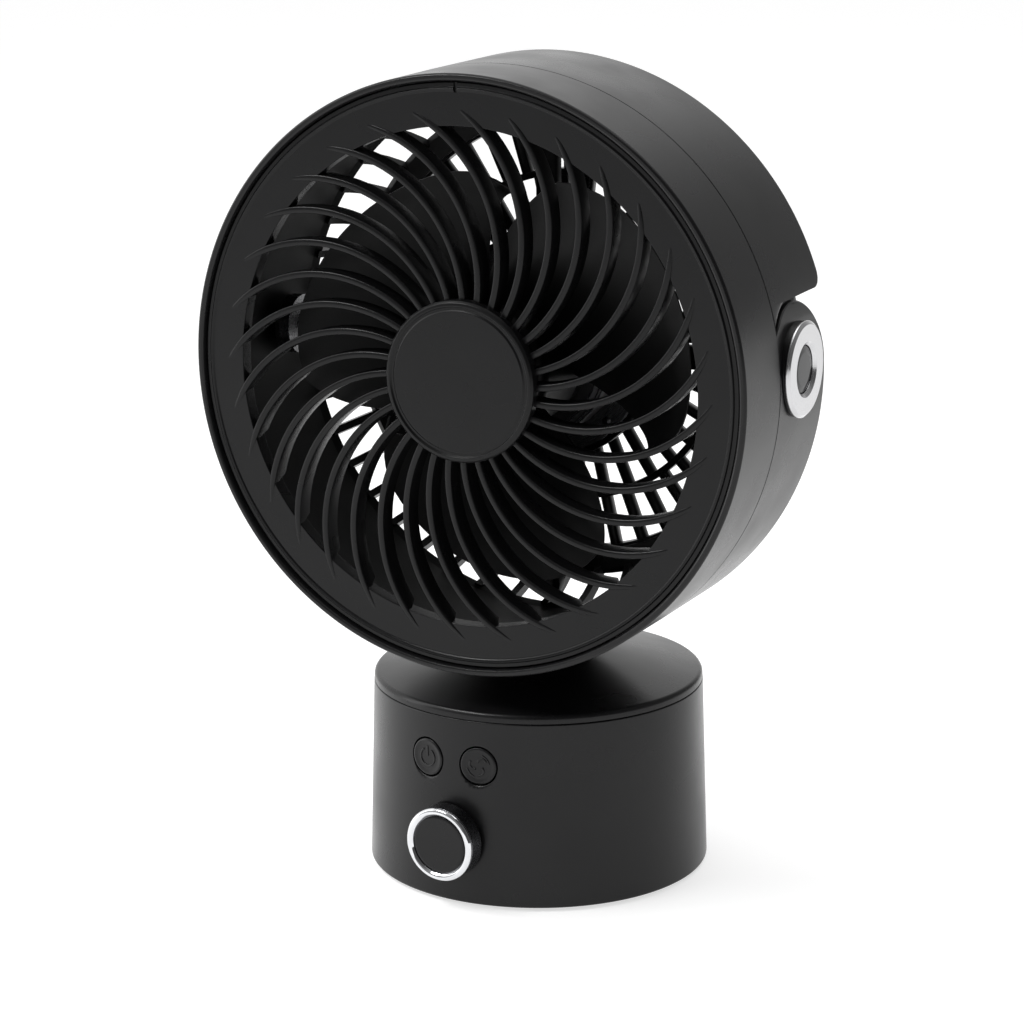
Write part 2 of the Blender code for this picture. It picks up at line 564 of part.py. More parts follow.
def build_motor(tilt, rotor):
    centre = (0, -PIVOT_Y, HEAD_Z - PIVOT_Z)
    shell_in = MOTOR_R - 2
    flange_r = 38
    flange_h = BRACKET_H + BRACKET_THICK + GAP
    seat_in = 9.3
    seat_out = 11.6
    front = turned("motor_front_cover", [
        (27, 9.0), (MOTOR_R, 6.5), (MOTOR_R, flange_h + 2.6), (flange_r, flange_h + 2.6),
        (flange_r, flange_h), (shell_in, flange_h), (shell_in, 6.8), (seat_out, 6.8), (seat_out, 1.6),
        (seat_in, 1.6), (seat_in, 6.8), (4.9, 6.8), (4.9, 9.0),
    ], STEEL, centre, FORWARD, tilt)
    turned("motor_rear_cover", [
        (0, -21.8), (seat_in, -21.8), (seat_in, -16.6), (seat_out, -16.6), (seat_out, -21.8),
        (shell_in, -21.8), (shell_in, flange_h - GAP), (MOTOR_R + 0.2, flange_h - GAP),
        (MOTOR_R + 0.2, -21), (27.5, -24), (0, -24),
    ], STEEL, centre, FORWARD, tilt)
    turned("stator", ring(19.9, shell_in - 0.4, -15.0, 0.6), COPPER, centre, FORWARD, tilt)
    turned("front_bearing", ring(SHAFT_R + 0.25, 9.0, 1.8, 6.4), STEEL, centre, FORWARD, tilt, steps=20)
    turned("rear_bearing", ring(SHAFT_R + 0.25, 9.0, -21.4, -17.0), STEEL, centre, FORWARD, tilt, steps=20)

    window = []
    for quarter in range(4):
        start = 90 * quarter
        window.append(arc(81.5, start + 6, start + 84, 6) + arc(flange_r + 1, start + 76, start + 14, 4))
    holes = [circle(1.9, 8, polar(BRACKET_SCREW_R, a)) for a in (0, 90, 180, 270)]
    holes += [circle(1.8, 8, polar(34.4, a)) for a in (45, 135, 225, 315)]
    at = (0, centre[1] - BRACKET_H - BRACKET_THICK / 2, centre[2])
    outlined("motor_bracket", [circle(BRACKET_R, 48), circle(MOTOR_R + 0.6, 32), *window, *holes],
             BRACKET_THICK, DARK, at, FORWARD, tilt)
    bracket_front = BRACKET_H + BRACKET_THICK
    seats = [hole_cutter(f"flange_hole_{i}", 1.8, flange_h - 2, flange_h + 5,
                         offset_forward(centre, 34.4, a), FORWARD, tilt) for i, a in enumerate((45, 135, 225, 315))]
    combine(front, seats, "DIFFERENCE")
    for i in range(4):
        at = offset_forward(centre, BRACKET_SCREW_R, 90 * i)
        screw_fastener(f"bracket_screw_{i + 1}", bracket_front + GAP, bracket_front + 2.1, -17.5, 3.0, 1.4,
                       STEEL, at, FORWARD, tilt)
        at = offset_forward(centre, 34.4, 90 * i + 45)
        screw_fastener(f"motor_screw_{i + 1}", -BRACKET_H + GAP, -BRACKET_H + 2.1, -flange_h - 2.2, 3.0, 1.4,
                       STEEL, at, BACKWARD, tilt)

    turned("motor_shaft", disc(SHAFT_R, -21.2, 47.0), STEEL, turn=FORWARD, parent=rotor, steps=20)
    turned("rotor_core", ring(SHAFT_R + GAP, 19.3, -15.0, 0.6), IRON, turn=FORWARD, parent=rotor)
    turned("spinner_nut", [
        (0, 48.4), (5.5, 48.4), (7.0, 47.0), (7.0, 44.3), (SHAFT_R + GAP, 44.3), (SHAFT_R + GAP, 47.4), (0, 47.4),
    ], DARK, turn=FORWARD, parent=rotor, steps=20)
    build_impeller(rotor)


def build_impeller(rotor):
    hub = turned("impeller", [
        (16, 44), (21, 42), (23, 38), (23, 14), (20.6, 14), (20.6, 36), (18, 39.6), (8, 41), (8, 20),
        (SHAFT_R + GAP, 20), (SHAFT_R + GAP, 44),
    ], DARK, turn=FORWARD, parent=rotor, steps=32)
    root_r = 21.6
    across = 8
    along = 5
    blades = []
    for blade in range(BLADE_COUNT):
        mesh = bpy.data.meshes.new(f"blade_{blade}")
        shape = bmesh.new()
        bmesh.ops.create_grid(shape, x_segments=along, y_segments=across, size=0.5)
        for vert in shape.verts:
            reach = vert.co.x + 0.5
            chord = vert.co.y
            corner = max(0.0, abs(chord) * 2 - 0.55) / 0.45
            radius = root_r + (BLADE_TIP_R - root_r) * reach - 6.0 * corner ** 2 * reach ** 4
            turn = BLADE_FIRST + 360 * blade / BLADE_COUNT - 24.9 * reach - BLADE_WIDTH * (chord + 0.5)
            angle = math.radians(turn)
            height = 39 - 21.4 * (chord + 0.5)
            vert.co = (radius * math.cos(angle) * MM, radius * math.sin(angle) * MM, height * MM)
        shape.to_mesh(mesh)
        shape.free()
        obj = place(bpy.data.objects.new(f"blade_{blade}", mesh), None, turn=FORWARD, parent=rotor,
                    collection=CUTTERS)
        wall = obj.modifiers.new("thickness", "SOLIDIFY")
        wall.thickness = 1.8 * MM
        wall.offset = 0
        blades.append(obj)
    combine(hub, blades, "UNION")


panel_axis = axis_point("panel_axis", (0, 0, 0), (0, 0, math.radians(PANEL_AZIMUTH)))
dial_joint = axis_point("dial_joint", (0, 0, DIAL_Z), parent=panel_axis)
button_joints = [axis_point(f"{word}_button_joint", (0, 0, BUTTON_Z),
                            (0, 0, math.radians(side * BUTTON_SPREAD)), panel_axis)
                 for word, side in (("power", -1), ("fan", 1))]
drive_joint = axis_point("drive_joint", (0, DRIVE_Y, 0))
pan_joint = axis_point("pan_joint", (0, 0, 0))
tilt_joint = axis_point("tilt_joint", (0, PIVOT_Y, PIVOT_Z), parent=pan_joint)
rotor_joint = axis_point("rotor_joint", (0, -PIVOT_Y, HEAD_Z - PIVOT_Z), parent=tilt_joint)

build_base(panel_axis, button_joints)
build_controls(dial_joint, button_joints)
cover_neck_z = build_turntable(pan_joint, drive_joint)
build_yoke(pan_joint, cover_neck_z)
build_housing(tilt_joint)
build_motor(tilt_joint, rotor_joint)
shading = shading_by_angle()
for part in PARTS.objects:
    if part.type == "MESH":
        part.modifiers.new("shading", "NODES").node_group = shading
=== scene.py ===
# %% [markdown]
# # A small desk fan
#
# The fan has a drum base with two push buttons and a knob, a shallow cone that turns on the base, a
# U-shaped yoke, and a round head that tilts between the yoke's arms. Its working skeleton is loaded
# first: every joint, shaft and screw is already in its place. This file then gives each visible piece its
# finished shape and skin.
#
# Sizes are in millimetres and become metres only when a mesh is made.

# %% Load the skeleton
import math

import bmesh
import bpy
from mathutils import Matrix, Vector


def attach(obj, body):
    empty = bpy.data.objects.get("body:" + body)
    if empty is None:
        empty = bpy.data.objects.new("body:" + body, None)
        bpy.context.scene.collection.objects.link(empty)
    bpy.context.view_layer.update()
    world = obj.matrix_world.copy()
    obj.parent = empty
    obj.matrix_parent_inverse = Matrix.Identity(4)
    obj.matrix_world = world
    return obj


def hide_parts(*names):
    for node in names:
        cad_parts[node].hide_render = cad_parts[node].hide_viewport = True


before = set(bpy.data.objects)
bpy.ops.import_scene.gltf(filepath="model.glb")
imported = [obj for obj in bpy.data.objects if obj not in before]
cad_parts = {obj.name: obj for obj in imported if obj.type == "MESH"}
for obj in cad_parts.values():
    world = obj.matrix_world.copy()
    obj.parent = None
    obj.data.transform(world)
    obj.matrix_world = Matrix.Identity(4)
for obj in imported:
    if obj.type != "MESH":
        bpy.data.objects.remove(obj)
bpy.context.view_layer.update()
scene = bpy.context.scene
skeleton_finishes = len(bpy.data.materials)

# %% [markdown]
# ## Where things are
#
# Nearly every piece is round about one of four axes, so each is drawn flat and then carried to its axis.
# The head's axis is level and its front looks along -Y. The tilt axis lies across the head. The controls
# look out of the drum a little to one side of the head's own direction.

# %% Axes
MM = 0.001
HEAD_Z = 183.1
PIVOT_Y = -11.4
PIVOT_Z = 187.1
PANEL_TURN = -5.0
BUTTON_SPREAD = 10.0
BUTTON_Z = 50.4
DIAL_Z = 23.4

LOOK_FORWARD = Matrix.Rotation(math.radians(90), 4, "X")
UPRIGHT = Matrix.Identity(4)
HEAD = Matrix.Translation(Vector((0, 0, HEAD_Z)) * MM) @ LOOK_FORWARD
PIVOT = Matrix.Translation(Vector((0, PIVOT_Y, PIVOT_Z)) * MM)
PIVOT_RIGHT = PIVOT @ Matrix.Rotation(math.radians(90), 4, "Y")
PIVOT_LEFT = PIVOT @ Matrix.Rotation(math.radians(-90), 4, "Y")


def panel_axis(degrees, height):
    """The frame of a control: it looks out of the drum at an angle round it."""
    turn = Matrix.Rotation(math.radians(PANEL_TURN + degrees), 4, "Z")
    return Matrix.Translation((0, 0, height * MM)) @ turn @ LOOK_FORWARD


print("head axis", HEAD_Z, "mm up, tilt axis", PIVOT_Z, "mm up")

# %% [markdown]
# ## Finishes
#
# The whole fan is moulded in black, so its finishes have to differ by their gloss and grain and not by
# their colour. Moulds are spark-etched to give a satin skin: a grain under half a millimetre and a little
# unevenness in gloss over centimetres. Each finish is a small network of nodes on
# Object coordinates, so the grain stays put on the piece and has one scale everywhere.


# %% A node network to start from
def new_finish(name, colour, roughness, metallic=0.0):
    """A material with its Principled shader and its Object coordinates at hand."""
    finish = bpy.data.materials.new(name)
    finish.use_nodes = True
    finish.diffuse_color = (*colour, 1)
    nodes = finish.node_tree.nodes
    shader = nodes["Principled BSDF"]
    shader.inputs["Base Color"].default_value = (*colour, 1)
    shader.inputs["Roughness"].default_value = roughness
    shader.inputs["Metallic"].default_value = metallic
    place = nodes.new("ShaderNodeTexCoord").outputs["Object"]
    return finish, shader, place


def noise(finish, place, scale, detail=2.0):
    """A noise texture whose grains are about 1/scale metres across."""
    texture = finish.node_tree.nodes.new("ShaderNodeTexNoise")
    texture.inputs["Scale"].default_value = scale
    texture.inputs["Detail"].default_value = detail
    finish.node_tree.links.new(place, texture.inputs["Vector"])
    return texture.outputs["Fac"]


def spread(finish, value, low, high):
    """Stretches a 0 to 1 value between two limits."""
    node = finish.node_tree.nodes.new("ShaderNodeMapRange")
    node.inputs["From Min"].default_value = 0.3
    node.inputs["From Max"].default_value = 0.7
    node.inputs["To Min"].default_value = low
    node.inputs["To Max"].default_value = high
    finish.node_tree.links.new(value, node.inputs["Value"])
    return node.outputs["Result"]


def tint(finish, value, dark, pale):
    """Mixes two colours by a 0 to 1 value."""
    node = finish.node_tree.nodes.new("ShaderNodeMix")
    node.data_type = "RGBA"
    node.inputs["A"].default_value = (*dark, 1)
    node.inputs["B"].default_value = (*pale, 1)
    finish.node_tree.links.new(value, node.inputs["Factor"])
    return node.outputs["Result"]


def bump(finish, shader, value, height_mm, strength=1.0):
    """Lets a 0 to 1 value raise the skin by a height."""
    node = finish.node_tree.nodes.new("ShaderNodeBump")
    node.inputs["Strength"].default_value = strength
    node.inputs["Distance"].default_value = height_mm * MM
    finish.node_tree.links.new(value, node.inputs["Height"])
    finish.node_tree.links.new(node.outputs["Normal"], shader.inputs["Normal"])


# %% Moulded plastics
def moulded(name, colour, roughness, grain_mm, depth_mm, uneven=0.06, shine=0.28):
    """Moulded plastic: an etched grain, slow changes of gloss and a faint mottling of the colour."""
    finish, shader, place = new_finish(name, colour, roughness)
    shader.inputs["Specular IOR Level"].default_value = shine
    link = finish.node_tree.links.new
    slow = noise(finish, place, 28, 3)
    link(spread(finish, slow, roughness - uneven, roughness + uneven), shader.inputs["Roughness"])
    pale = [channel * 1.3 for channel in colour]
    link(tint(finish, noise(finish, place, 70, 4), colour, pale), shader.inputs["Base Color"])
    bump(finish, shader, noise(finish, place, 1000 / grain_mm, 1), depth_mm)
    return finish


satin_black = moulded("satin_black_shell", (0.0062, 0.0061, 0.0065), 0.29, 0.35, 0.009)
grille_black = moulded("grille_black", (0.0050, 0.0050, 0.0053), 0.26, 0.30, 0.007, 0.06, 0.22)
# The pieces inside the head and base take a darker black than the shell. That darker colour is painted
# shade for the inside, and their higher roughness is the plastic's own.
matte_black_painted_shade = moulded("matte_black_painted_shade_inside", (0.0035, 0.0035, 0.0037), 0.48, 0.45, 0.012, 0.06, 0.2)
# The blades and the fan hub also take a darker black than the shell. That darker colour is painted shade
# inside the head.
blade_black_painted_shade = moulded("blade_black_painted_shade", (0.0045, 0.0045, 0.0047), 0.34, 0.60, 0.006, 0.06, 0.25)
knob_black = moulded("knob_gloss_black", (0.010, 0.0105, 0.012), 0.16, 0.9, 0.002, 0.04)
icon_black = moulded("icon_black", (0.010, 0.010, 0.0105), 0.28, 0.3, 0.004, 0.04)
rubber = moulded("foot_rubber", (0.012, 0.012, 0.012), 0.80, 0.6, 0.012)
nylon = moulded("gear_nylon", (0.70, 0.69, 0.64), 0.42, 0.5, 0.008)
board_green = moulded("board_green", (0.010, 0.10, 0.035), 0.30, 1.5, 0.01)
plastic_finishes = len(bpy.data.materials) - skeleton_finishes
print("plastics made:", plastic_finishes)


# %% [markdown]
# The silver rings and the knob's ring are plated. A plated skin mirrors the room. The silver rings also
# show the turning marks of the tool that faced them: fine circles about the part's own axis. Those come
# from the distance to the axis, run through a noise so that they aren't even. The knob's ring has an uneven
# cast skin instead.


# %% Metals
def turned_metal(name, colour, roughness, centre_mm, axis, ring_mm, depth_mm):
    """Metal with fine circular tool marks about an axis through a point."""
    finish, shader, place = new_finish(name, colour, roughness, 1.0)
    nodes = finish.node_tree.nodes
    link = finish.node_tree.links.new
    centred = nodes.new("ShaderNodeMapping")
    centred.inputs["Location"].default_value = [-value * MM for value in centre_mm]
    link(place, centred.inputs["Vector"])
    flat = nodes.new("ShaderNodeVectorMath")
    flat.operation = "MULTIPLY"
    flat.inputs[1].default_value = [0.0 if letter == axis else 1.0 for letter in "XYZ"]
    link(centred.outputs["Vector"], flat.inputs[0])
    distance = nodes.new("ShaderNodeVectorMath")
    distance.operation = "LENGTH"
    link(flat.outputs["Vector"], distance.inputs[0])
    marks = nodes.new("ShaderNodeTexNoise")
    marks.noise_dimensions = "1D"
    marks.inputs["Scale"].default_value = 1000 / ring_mm
    marks.inputs["Detail"].default_value = 2
    link(distance.outputs["Value"], marks.inputs["W"])
    link(spread(finish, marks.outputs["Fac"], roughness * 0.7, roughness * 1.4), shader.inputs["Roughness"])
    bump(finish, shader, marks.outputs["Fac"], depth_mm, 0.5)
    return finish


def cast_metal(name, colour, roughness, grain_mm, depth_mm, metallic=1.0):
    """Metal as it was cast, drawn or rolled, with an uneven skin."""
    finish, shader, place = new_finish(name, colour, roughness, metallic)
    link = finish.node_tree.links.new
    grain = noise(finish, place, 1000 / grain_mm, 4)
    link(spread(finish, grain, roughness * 0.75, roughness * 1.2), shader.inputs["Roughness"])
    dark = [channel * 0.75 for channel in colour]
    link(tint(finish, noise(finish, place, 120, 3), dark, colour), shader.inputs["Base Color"])
    bump(finish, shader, grain, depth_mm)
    return finish


PIVOT_CENTRE = (0, PIVOT_Y, PIVOT_Z)
pivot_silver = turned_metal("pivot_silver", (0.60, 0.60, 0.61), 0.20, PIVOT_CENTRE, "X", 0.35, 0.004)
knob_chrome = cast_metal("knob_chrome", (0.86, 0.87, 0.89), 0.06, 6.0, 0.001)
motor_steel = turned_metal("motor_steel", (0.26, 0.26, 0.27), 0.34, (0, 0, HEAD_Z), "Y", 0.8, 0.01)
knob_metal = cast_metal("knob_dark_metal", (0.20, 0.203, 0.215), 0.28, 0.5, 0.002)
shaft_steel = cast_metal("shaft_steel", (0.34, 0.34, 0.35), 0.30, 1.2, 0.001)
screw_steel = cast_metal("screw_zinc", (0.34, 0.34, 0.35), 0.32, 0.8, 0.002)
ballast_iron = cast_metal("ballast_iron", (0.13, 0.13, 0.135), 0.6, 1.0, 0.08)
core_steel = cast_metal("core_steel", (0.22, 0.22, 0.23), 0.45, 0.5, 0.004)


def wound_copper():
    """Lacquered wire wound round the motor: fine bands along the motor's length."""
    finish, shader, place = new_finish("wound_copper", (0.55, 0.24, 0.10), 0.32, 1.0)
    wave = finish.node_tree.nodes.new("ShaderNodeTexWave")
    wave.bands_direction = "Y"
    wave.inputs["Scale"].default_value = 320
    wave.inputs["Distortion"].default_value = 1.5
    finish.node_tree.links.new(place, wave.inputs["Vector"])
    colour = tint(finish, wave.outputs["Fac"], (0.30, 0.11, 0.04), (0.72, 0.33, 0.14))
    finish.node_tree.links.new(colour, shader.inputs["Base Color"])
    bump(finish, shader, wave.outputs["Fac"], 0.15)
    return finish


winding_copper = wound_copper()
print("metals made:", len(bpy.data.materials) - skeleton_finishes - plastic_finishes)

# %% [markdown]
# ## Turned pieces
#
# Shells, caps, rings and the knob are all turned shapes. Each is a closed outline of (radius, height)
# corners, and a third number rounds a corner. Real mouldings have no sharp edges: even a rounding of 0.3
# mm catches a line of light, and that line is what makes a black object readable. Screw, the modifier
# that turns an outline, would also do. Swinging the outline in code gives closed seams and the exact
# number of steps, and a weighted normal keeps the flats flat beside the small roundings.


# %% Outlines and turning
def soften(corners, steps=4):
    """Replaces each corner that has a third number by an arc of that radius."""
    outline = []
    for index, corner in enumerate(corners):
        here = Vector(corner[:2])
        if len(corner) < 3:
            outline.append(tuple(here))
            continue
        before = Vector(corners[index - 1][:2]) - here
        after = Vector(corners[(index + 1) % len(corners)][:2]) - here
        half = before.angle(after) / 2
        reach = min(corner[2] / math.tan(half), 0.49 * before.length, 0.49 * after.length)
        radius = reach * math.tan(half)
        centre = here + (before.normalized() + after.normalized()).normalized() * radius / math.sin(half)
        first = here + before.normalized() * reach - centre
        last = here + after.normalized() * reach - centre
        sweep = math.pi - 2 * half
        for step in range(steps + 1):
            part = step / steps
            blend = first * math.sin((1 - part) * sweep) + last * math.sin(part * sweep)
            outline.append(tuple(centre + blend / math.sin(sweep)))
    return outline


def skin(rows, count, closed=False):
    """Faces between neighbouring rows of count points. The ends are capped unless the rows are closed."""
    faces = []
    for row in range(rows if closed else rows - 1):
        here = row * count
        there = (row + 1) % rows * count
        for i in range(count):
            j = (i + 1) % count
            faces.append((here + i, here + j, there + j, there + i))
    if not closed:
        faces.append(tuple(range(count)))
        faces.append(tuple(range((rows - 1) * count, rows * count)))
    return faces


def made_piece(name, points, faces, finish, place, weighted=True):
    """A closed mesh with its place in its points, its doubles merged and its faces pointing outwards."""
    mesh = bpy.data.meshes.new(name)
    mesh.from_pydata([place @ (Vector(point) * MM) for point in points], [], faces)
    shape = bmesh.new()
    shape.from_mesh(mesh)
    bmesh.ops.remove_doubles(shape, verts=shape.verts, dist=0.000002)
    bmesh.ops.dissolve_degenerate(shape, edges=shape.edges, dist=0.0000005)
    bmesh.ops.recalc_face_normals(shape, faces=shape.faces)
    shape.to_mesh(mesh)
    shape.free()
    mesh.materials.append(finish)
    mesh.shade_smooth()
    mesh.set_sharp_from_angle(angle=math.radians(50))
    piece = bpy.data.objects.new(name, mesh)
    scene.collection.objects.link(piece)
    if weighted:
        normals = piece.modifiers.new("flat beside rounded", "WEIGHTED_NORMAL")
        normals.keep_sharp = True
    return piece


def turned(name, corners, finish, place, steps=128):
    """Swings a closed outline of (radius, height, rounding) corners round its axis."""
    outline = soften(corners)
    points = []
    for step in range(steps):
        angle = math.tau * step / steps
        points += [(r * math.cos(angle), r * math.sin(angle), height) for r, height in outline]
    return made_piece(name, points, skin(steps, len(outline), closed=True), finish, place)


def settle(piece, body, slot, *nodes):
    """The piece stands for skeleton nodes and moves with a body. The slot is not used."""
    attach(piece, body)
    if nodes:
        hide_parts(*nodes)
    print(piece.name, "on", body, "-", len(piece.data.polygons), "faces")
    return piece


# %% [markdown]
# ## Base
#
# The drum narrows by 2 mm from its foot to its top, as a moulding must to leave its mould. The holes for
# the buttons and the knob's shaft are cut through the wall. A Boolean does that best, since the wall is
# curved and the holes are straight, and the cutters are thrown away once the wall is a plain mesh.

# %% Base drum
FOOT_R = 60.0
TOP_R = 58.0
TOP_Z = 66.0
BUTTON_R = 6.5


def wall_radius(height):
    """The drum's outside radius at a height."""
    return FOOT_R + (TOP_R - FOOT_R) * height / TOP_Z


def cut(piece, cutters):
    """Cuts every cutter out of a piece for good, then throws the cutters away."""
    piece.modifiers.clear()
    for cutter in cutters:
        change = piece.modifiers.new("cut", "BOOLEAN")
        change.operation = "DIFFERENCE"
        change.solver = "EXACT"
        change.object = cutter
    bpy.context.view_layer.update()
    seen = piece.evaluated_get(bpy.context.evaluated_depsgraph_get())
    solid = bpy.data.meshes.new_from_object(seen)
    piece.modifiers.clear()
    piece.data = solid
    for cutter in cutters:
        bpy.data.objects.remove(cutter)
    solid.shade_smooth()
    solid.set_sharp_from_angle(angle=math.radians(30))
    normals = piece.modifiers.new("flat beside rounded", "WEIGHTED_NORMAL")
    normals.keep_sharp = True
    return piece


drum = turned("base_drum", [
    (TOP_R, TOP_Z, 0.4), *[(wall_radius(height), height) for height in range(64, 2, -2)],
    (wall_radius(1.0), 1.0, 0.9), (57.75, 1.0),
    (56.0, 59.8), (9.4, 59.8), (9.4, 62.2), (55.4, 62.2), (55.4, TOP_Z, 0.3),
], satin_black, UPRIGHT, 240)
holes = []
for degrees, height, radius in ((-BUTTON_SPREAD, BUTTON_Z, BUTTON_R + 0.55),
                                (BUTTON_SPREAD, BUTTON_Z, BUTTON_R + 0.55), (0, DIAL_Z, 4.0)):
    rim = wall_radius(height)
    holes.append(turned(f"hole_{degrees:.0f}_{height:.0f}", [
        (0, 50), (radius, 50), (radius, rim - 0.35), (radius + 0.7, rim + 0.35), (radius + 0.7, 70),
        (0, 70),
    ], satin_black, panel_axis(degrees, height), 64))
socket_axis = Matrix.Translation((0, 0, 14 * MM)) @ Matrix.Rotation(math.radians(-90), 4, "X")
holes.append(turned("hole_socket", [(0, 50), (5.3, 50), (5.3, 70), (0, 70)], satin_black, socket_axis, 48))
settle(cut(drum, holes), "base", "housing_black", "base_shell")

# %% [markdown]
# Under the drum sits a rubber pad, a little smaller than the foot, so that the drum seems to float on a
# line of shadow. It has a moulded ring and a dished middle, which can be seen when the fan is turned
# over.

# %% Foot pad and socket
pad = turned("foot_pad", [
    (0, 1.6), (56.6, 1.6, 0.2), (56.6, 0, 0.5), (47, 0, 0.3), (46.4, 0.6, 0.3), (40, 0.6, 0.3),
    (39.4, 0, 0.3), (20, 0, 0.3), (19, 0.7, 0.3), (0, 0.7),
], rubber, UPRIGHT, 128)
settle(pad, "base", "rubber", "nonslip_pad")
socket = turned("power_socket", [
    (0, 50), (2.8, 50), (2.8, 59.0, 0.3), (3.2, 59.5, 0.2), (5.0, 59.5, 0.4), (5.0, 48), (0, 48),
], matte_black_painted_shade, socket_axis, 64)
settle(socket, "base", "inner_black", "power_inlet")

# %% [markdown]
# ## Buttons
#
# Each button is a turned cap with a thin raised rim round a very slightly dished face. The signs on them
# are moulded in, black on black: a power sign, and three blades in a ring for the swing. A sign is a low
# ridge drawn along a path, so one helper makes them all.


# %% Ridges along a path
def ridge(path, width, top, bottom):
    """Points and faces of a low rounded ridge that follows an open path of (x, y) points."""
    section = [(-0.5, 0), (-0.42, 0.7), (-0.22, 1), (0.22, 1), (0.42, 0.7), (0.5, 0)]
    points = []
    for index, here in enumerate(path):
        before = Vector(path[max(index - 1, 0)])
        after = Vector(path[min(index + 1, len(path) - 1)])
        along = (after - before).normalized()
        side = Vector((along.y, -along.x))
        for across, rise in section:
            spot = Vector(here) + side * across * width
            points.append((spot.x, spot.y, bottom + (top - bottom) * rise))
    return points, skin(len(path), len(section))


def joined(shapes):
    """Several shapes' points and faces as one."""
    points = []
    faces = []
    for more_points, more_faces in shapes:
        faces += [tuple(i + len(points) for i in face) for face in more_faces]
        points += more_points
    return points, faces


def bow(radius, start, end, steps=16, centre=(0, 0)):
    """Points on an arc between two angles in degrees."""
    angles = [math.radians(start + (end - start) * i / steps) for i in range(steps + 1)]
    return [(centre[0] + radius * math.cos(a), centre[1] + radius * math.sin(a)) for a in angles]


# %% Button caps and signs
BUTTON_FACE = wall_radius(BUTTON_Z) - 0.05
for body, degrees in (("power_button", -BUTTON_SPREAD), ("fan_button", BUTTON_SPREAD)):
    cap = turned(f"{body}_cap", [
        (0, BUTTON_FACE - 0.30), (4.6, BUTTON_FACE - 0.18, 2.0), (5.45, BUTTON_FACE - 0.02, 0.3),
        (5.9, BUTTON_FACE + 0.05, 0.25), (BUTTON_R, BUTTON_FACE - 0.15, 0.45),
        (BUTTON_R, BUTTON_FACE - 2.2), (3.0, BUTTON_FACE - 2.2), (3.0, 50.2), (0, 50.2),
    ], satin_black, panel_axis(degrees, BUTTON_Z), 72)
    settle(cap, body, "housing_black", body)

SIGN_TOP = BUTTON_FACE + 0.10
SIGN_FOOT = BUTTON_FACE - 0.45
power_sign = joined([
    ridge(bow(3.1, 122, 418, 28), 0.7, SIGN_TOP, SIGN_FOOT),
    ridge([(0, 3.9), (0, 2.2), (0, 0.4)], 0.75, SIGN_TOP, SIGN_FOOT),
])
blades = []
for third in range(3):
    turn = 120 * third + 20
    root = bow(1.6, turn, turn + 150, 10, bow(1.7, turn + 20, turn + 20, 1)[0])
    blades.append(ridge(root, 0.9, SIGN_TOP, SIGN_FOOT))
blades.append(ridge(bow(4.1, 195, 250, 12), 0.6, SIGN_TOP, SIGN_FOOT))
blades.append(ridge(bow(4.1, 15, 70, 12), 0.6, SIGN_TOP, SIGN_FOOT))
fan_sign = joined(blades)
signs = (("power_button", -BUTTON_SPREAD, power_sign), ("fan_button", BUTTON_SPREAD, fan_sign))
for body, degrees, sign in signs:
    piece = made_piece(f"{body}_sign", *sign, icon_black, panel_axis(degrees, BUTTON_Z), False)
    settle(piece, body, "housing_black")

# %% [markdown]
# ## Knob
#
# The knob is a gloss black drum with a plated ring let into its front edge and a satin disc inside the
# ring. The ring is what the eye finds first on this fan, so its section is a true rounded bead with a
# chamfer inside, and it mirrors the whole studio.

# %% Knob, ring and face
knob_axis = panel_axis(0, DIAL_Z)
knob = turned("knob_drum", [
    (0, 66.3), (12.3, 66.3, 0.2), (12.75, 65.9, 0.3), (12.95, 60.3, 0.5), (12.5, 59.9, 0.2), (3.3, 59.9),
    (3.3, 65.0), (0, 65.0),
], knob_metal, knob_axis, 144)
settle(knob, "dial", "gloss_black", "dial_knob")
knob_ring = turned("knob_ring", [
    (10.35, 66.9, 0.2), (10.95, 67.5, 0.35), (11.6, 67.75, 1.0), (12.4, 67.45, 0.6), (12.85, 66.8, 0.3),
    (12.85, 66.4), (10.35, 66.4),
], knob_chrome, knob_axis, 144)
settle(knob_ring, "dial", "chrome", "dial_ring")
knob_face = turned("knob_face", [
    (0, 66.95), (9.2, 66.95, 1.5), (10.05, 66.75, 0.3), (10.05, 66.4), (0, 66.4),
], satin_black, knob_axis, 96)
settle(knob_face, "dial", "housing_black", "dial_face")

# %% [markdown]
# ## Turntable cover
#
# A shallow cone closes the base and turns with the yoke. Its edge is rounded where it meets the drum, and
# the joint between the two is a thin dark line.

# %% Cover
CONE = math.tan(math.radians(12.5))
COVER_EDGE_R = 55.3
COVER_EDGE_Z = 69.65
NECK_HOLE_R = 17.4
neck_hole_z = COVER_EDGE_Z + (COVER_EDGE_R - NECK_HOLE_R) * CONE
cover = turned("cover_cone", [
    (NECK_HOLE_R, neck_hole_z, 0.3), (57.8, COVER_EDGE_Z - (57.8 - COVER_EDGE_R) * CONE, 2.1),
    (57.9, 66.25, 0.1), (44, 66.25), (44, 69.8), (NECK_HOLE_R, neck_hole_z - 2.4),
], satin_black, UPRIGHT, 240)
settle(cover, "turntable", "housing_black", "turntable_cover")

# %% [markdown]
# ## Yoke
#
# The yoke is a band of one width that runs under the head and up both sides, and each arm ends in a half
# circle about the tilt axis. It's built as a loft: a rounded section is carried along the band, and
# towards each tip its two edges close in on one another until they meet at the top of the half circle.
# Near the tip the outer face also drops away in a shallow cone and the inner face is flat, so that the
# tip can pass between the head's drum and the front shell's rim when the head tilts.

# %% Sections that are carried along a band
BAND_FRONT_Y = -29.45
BAND_BACK_Y = 10.9
BAND_R = 101.2
BAND_INNER_R = 97.3
ARM_TIP_R = 22.3


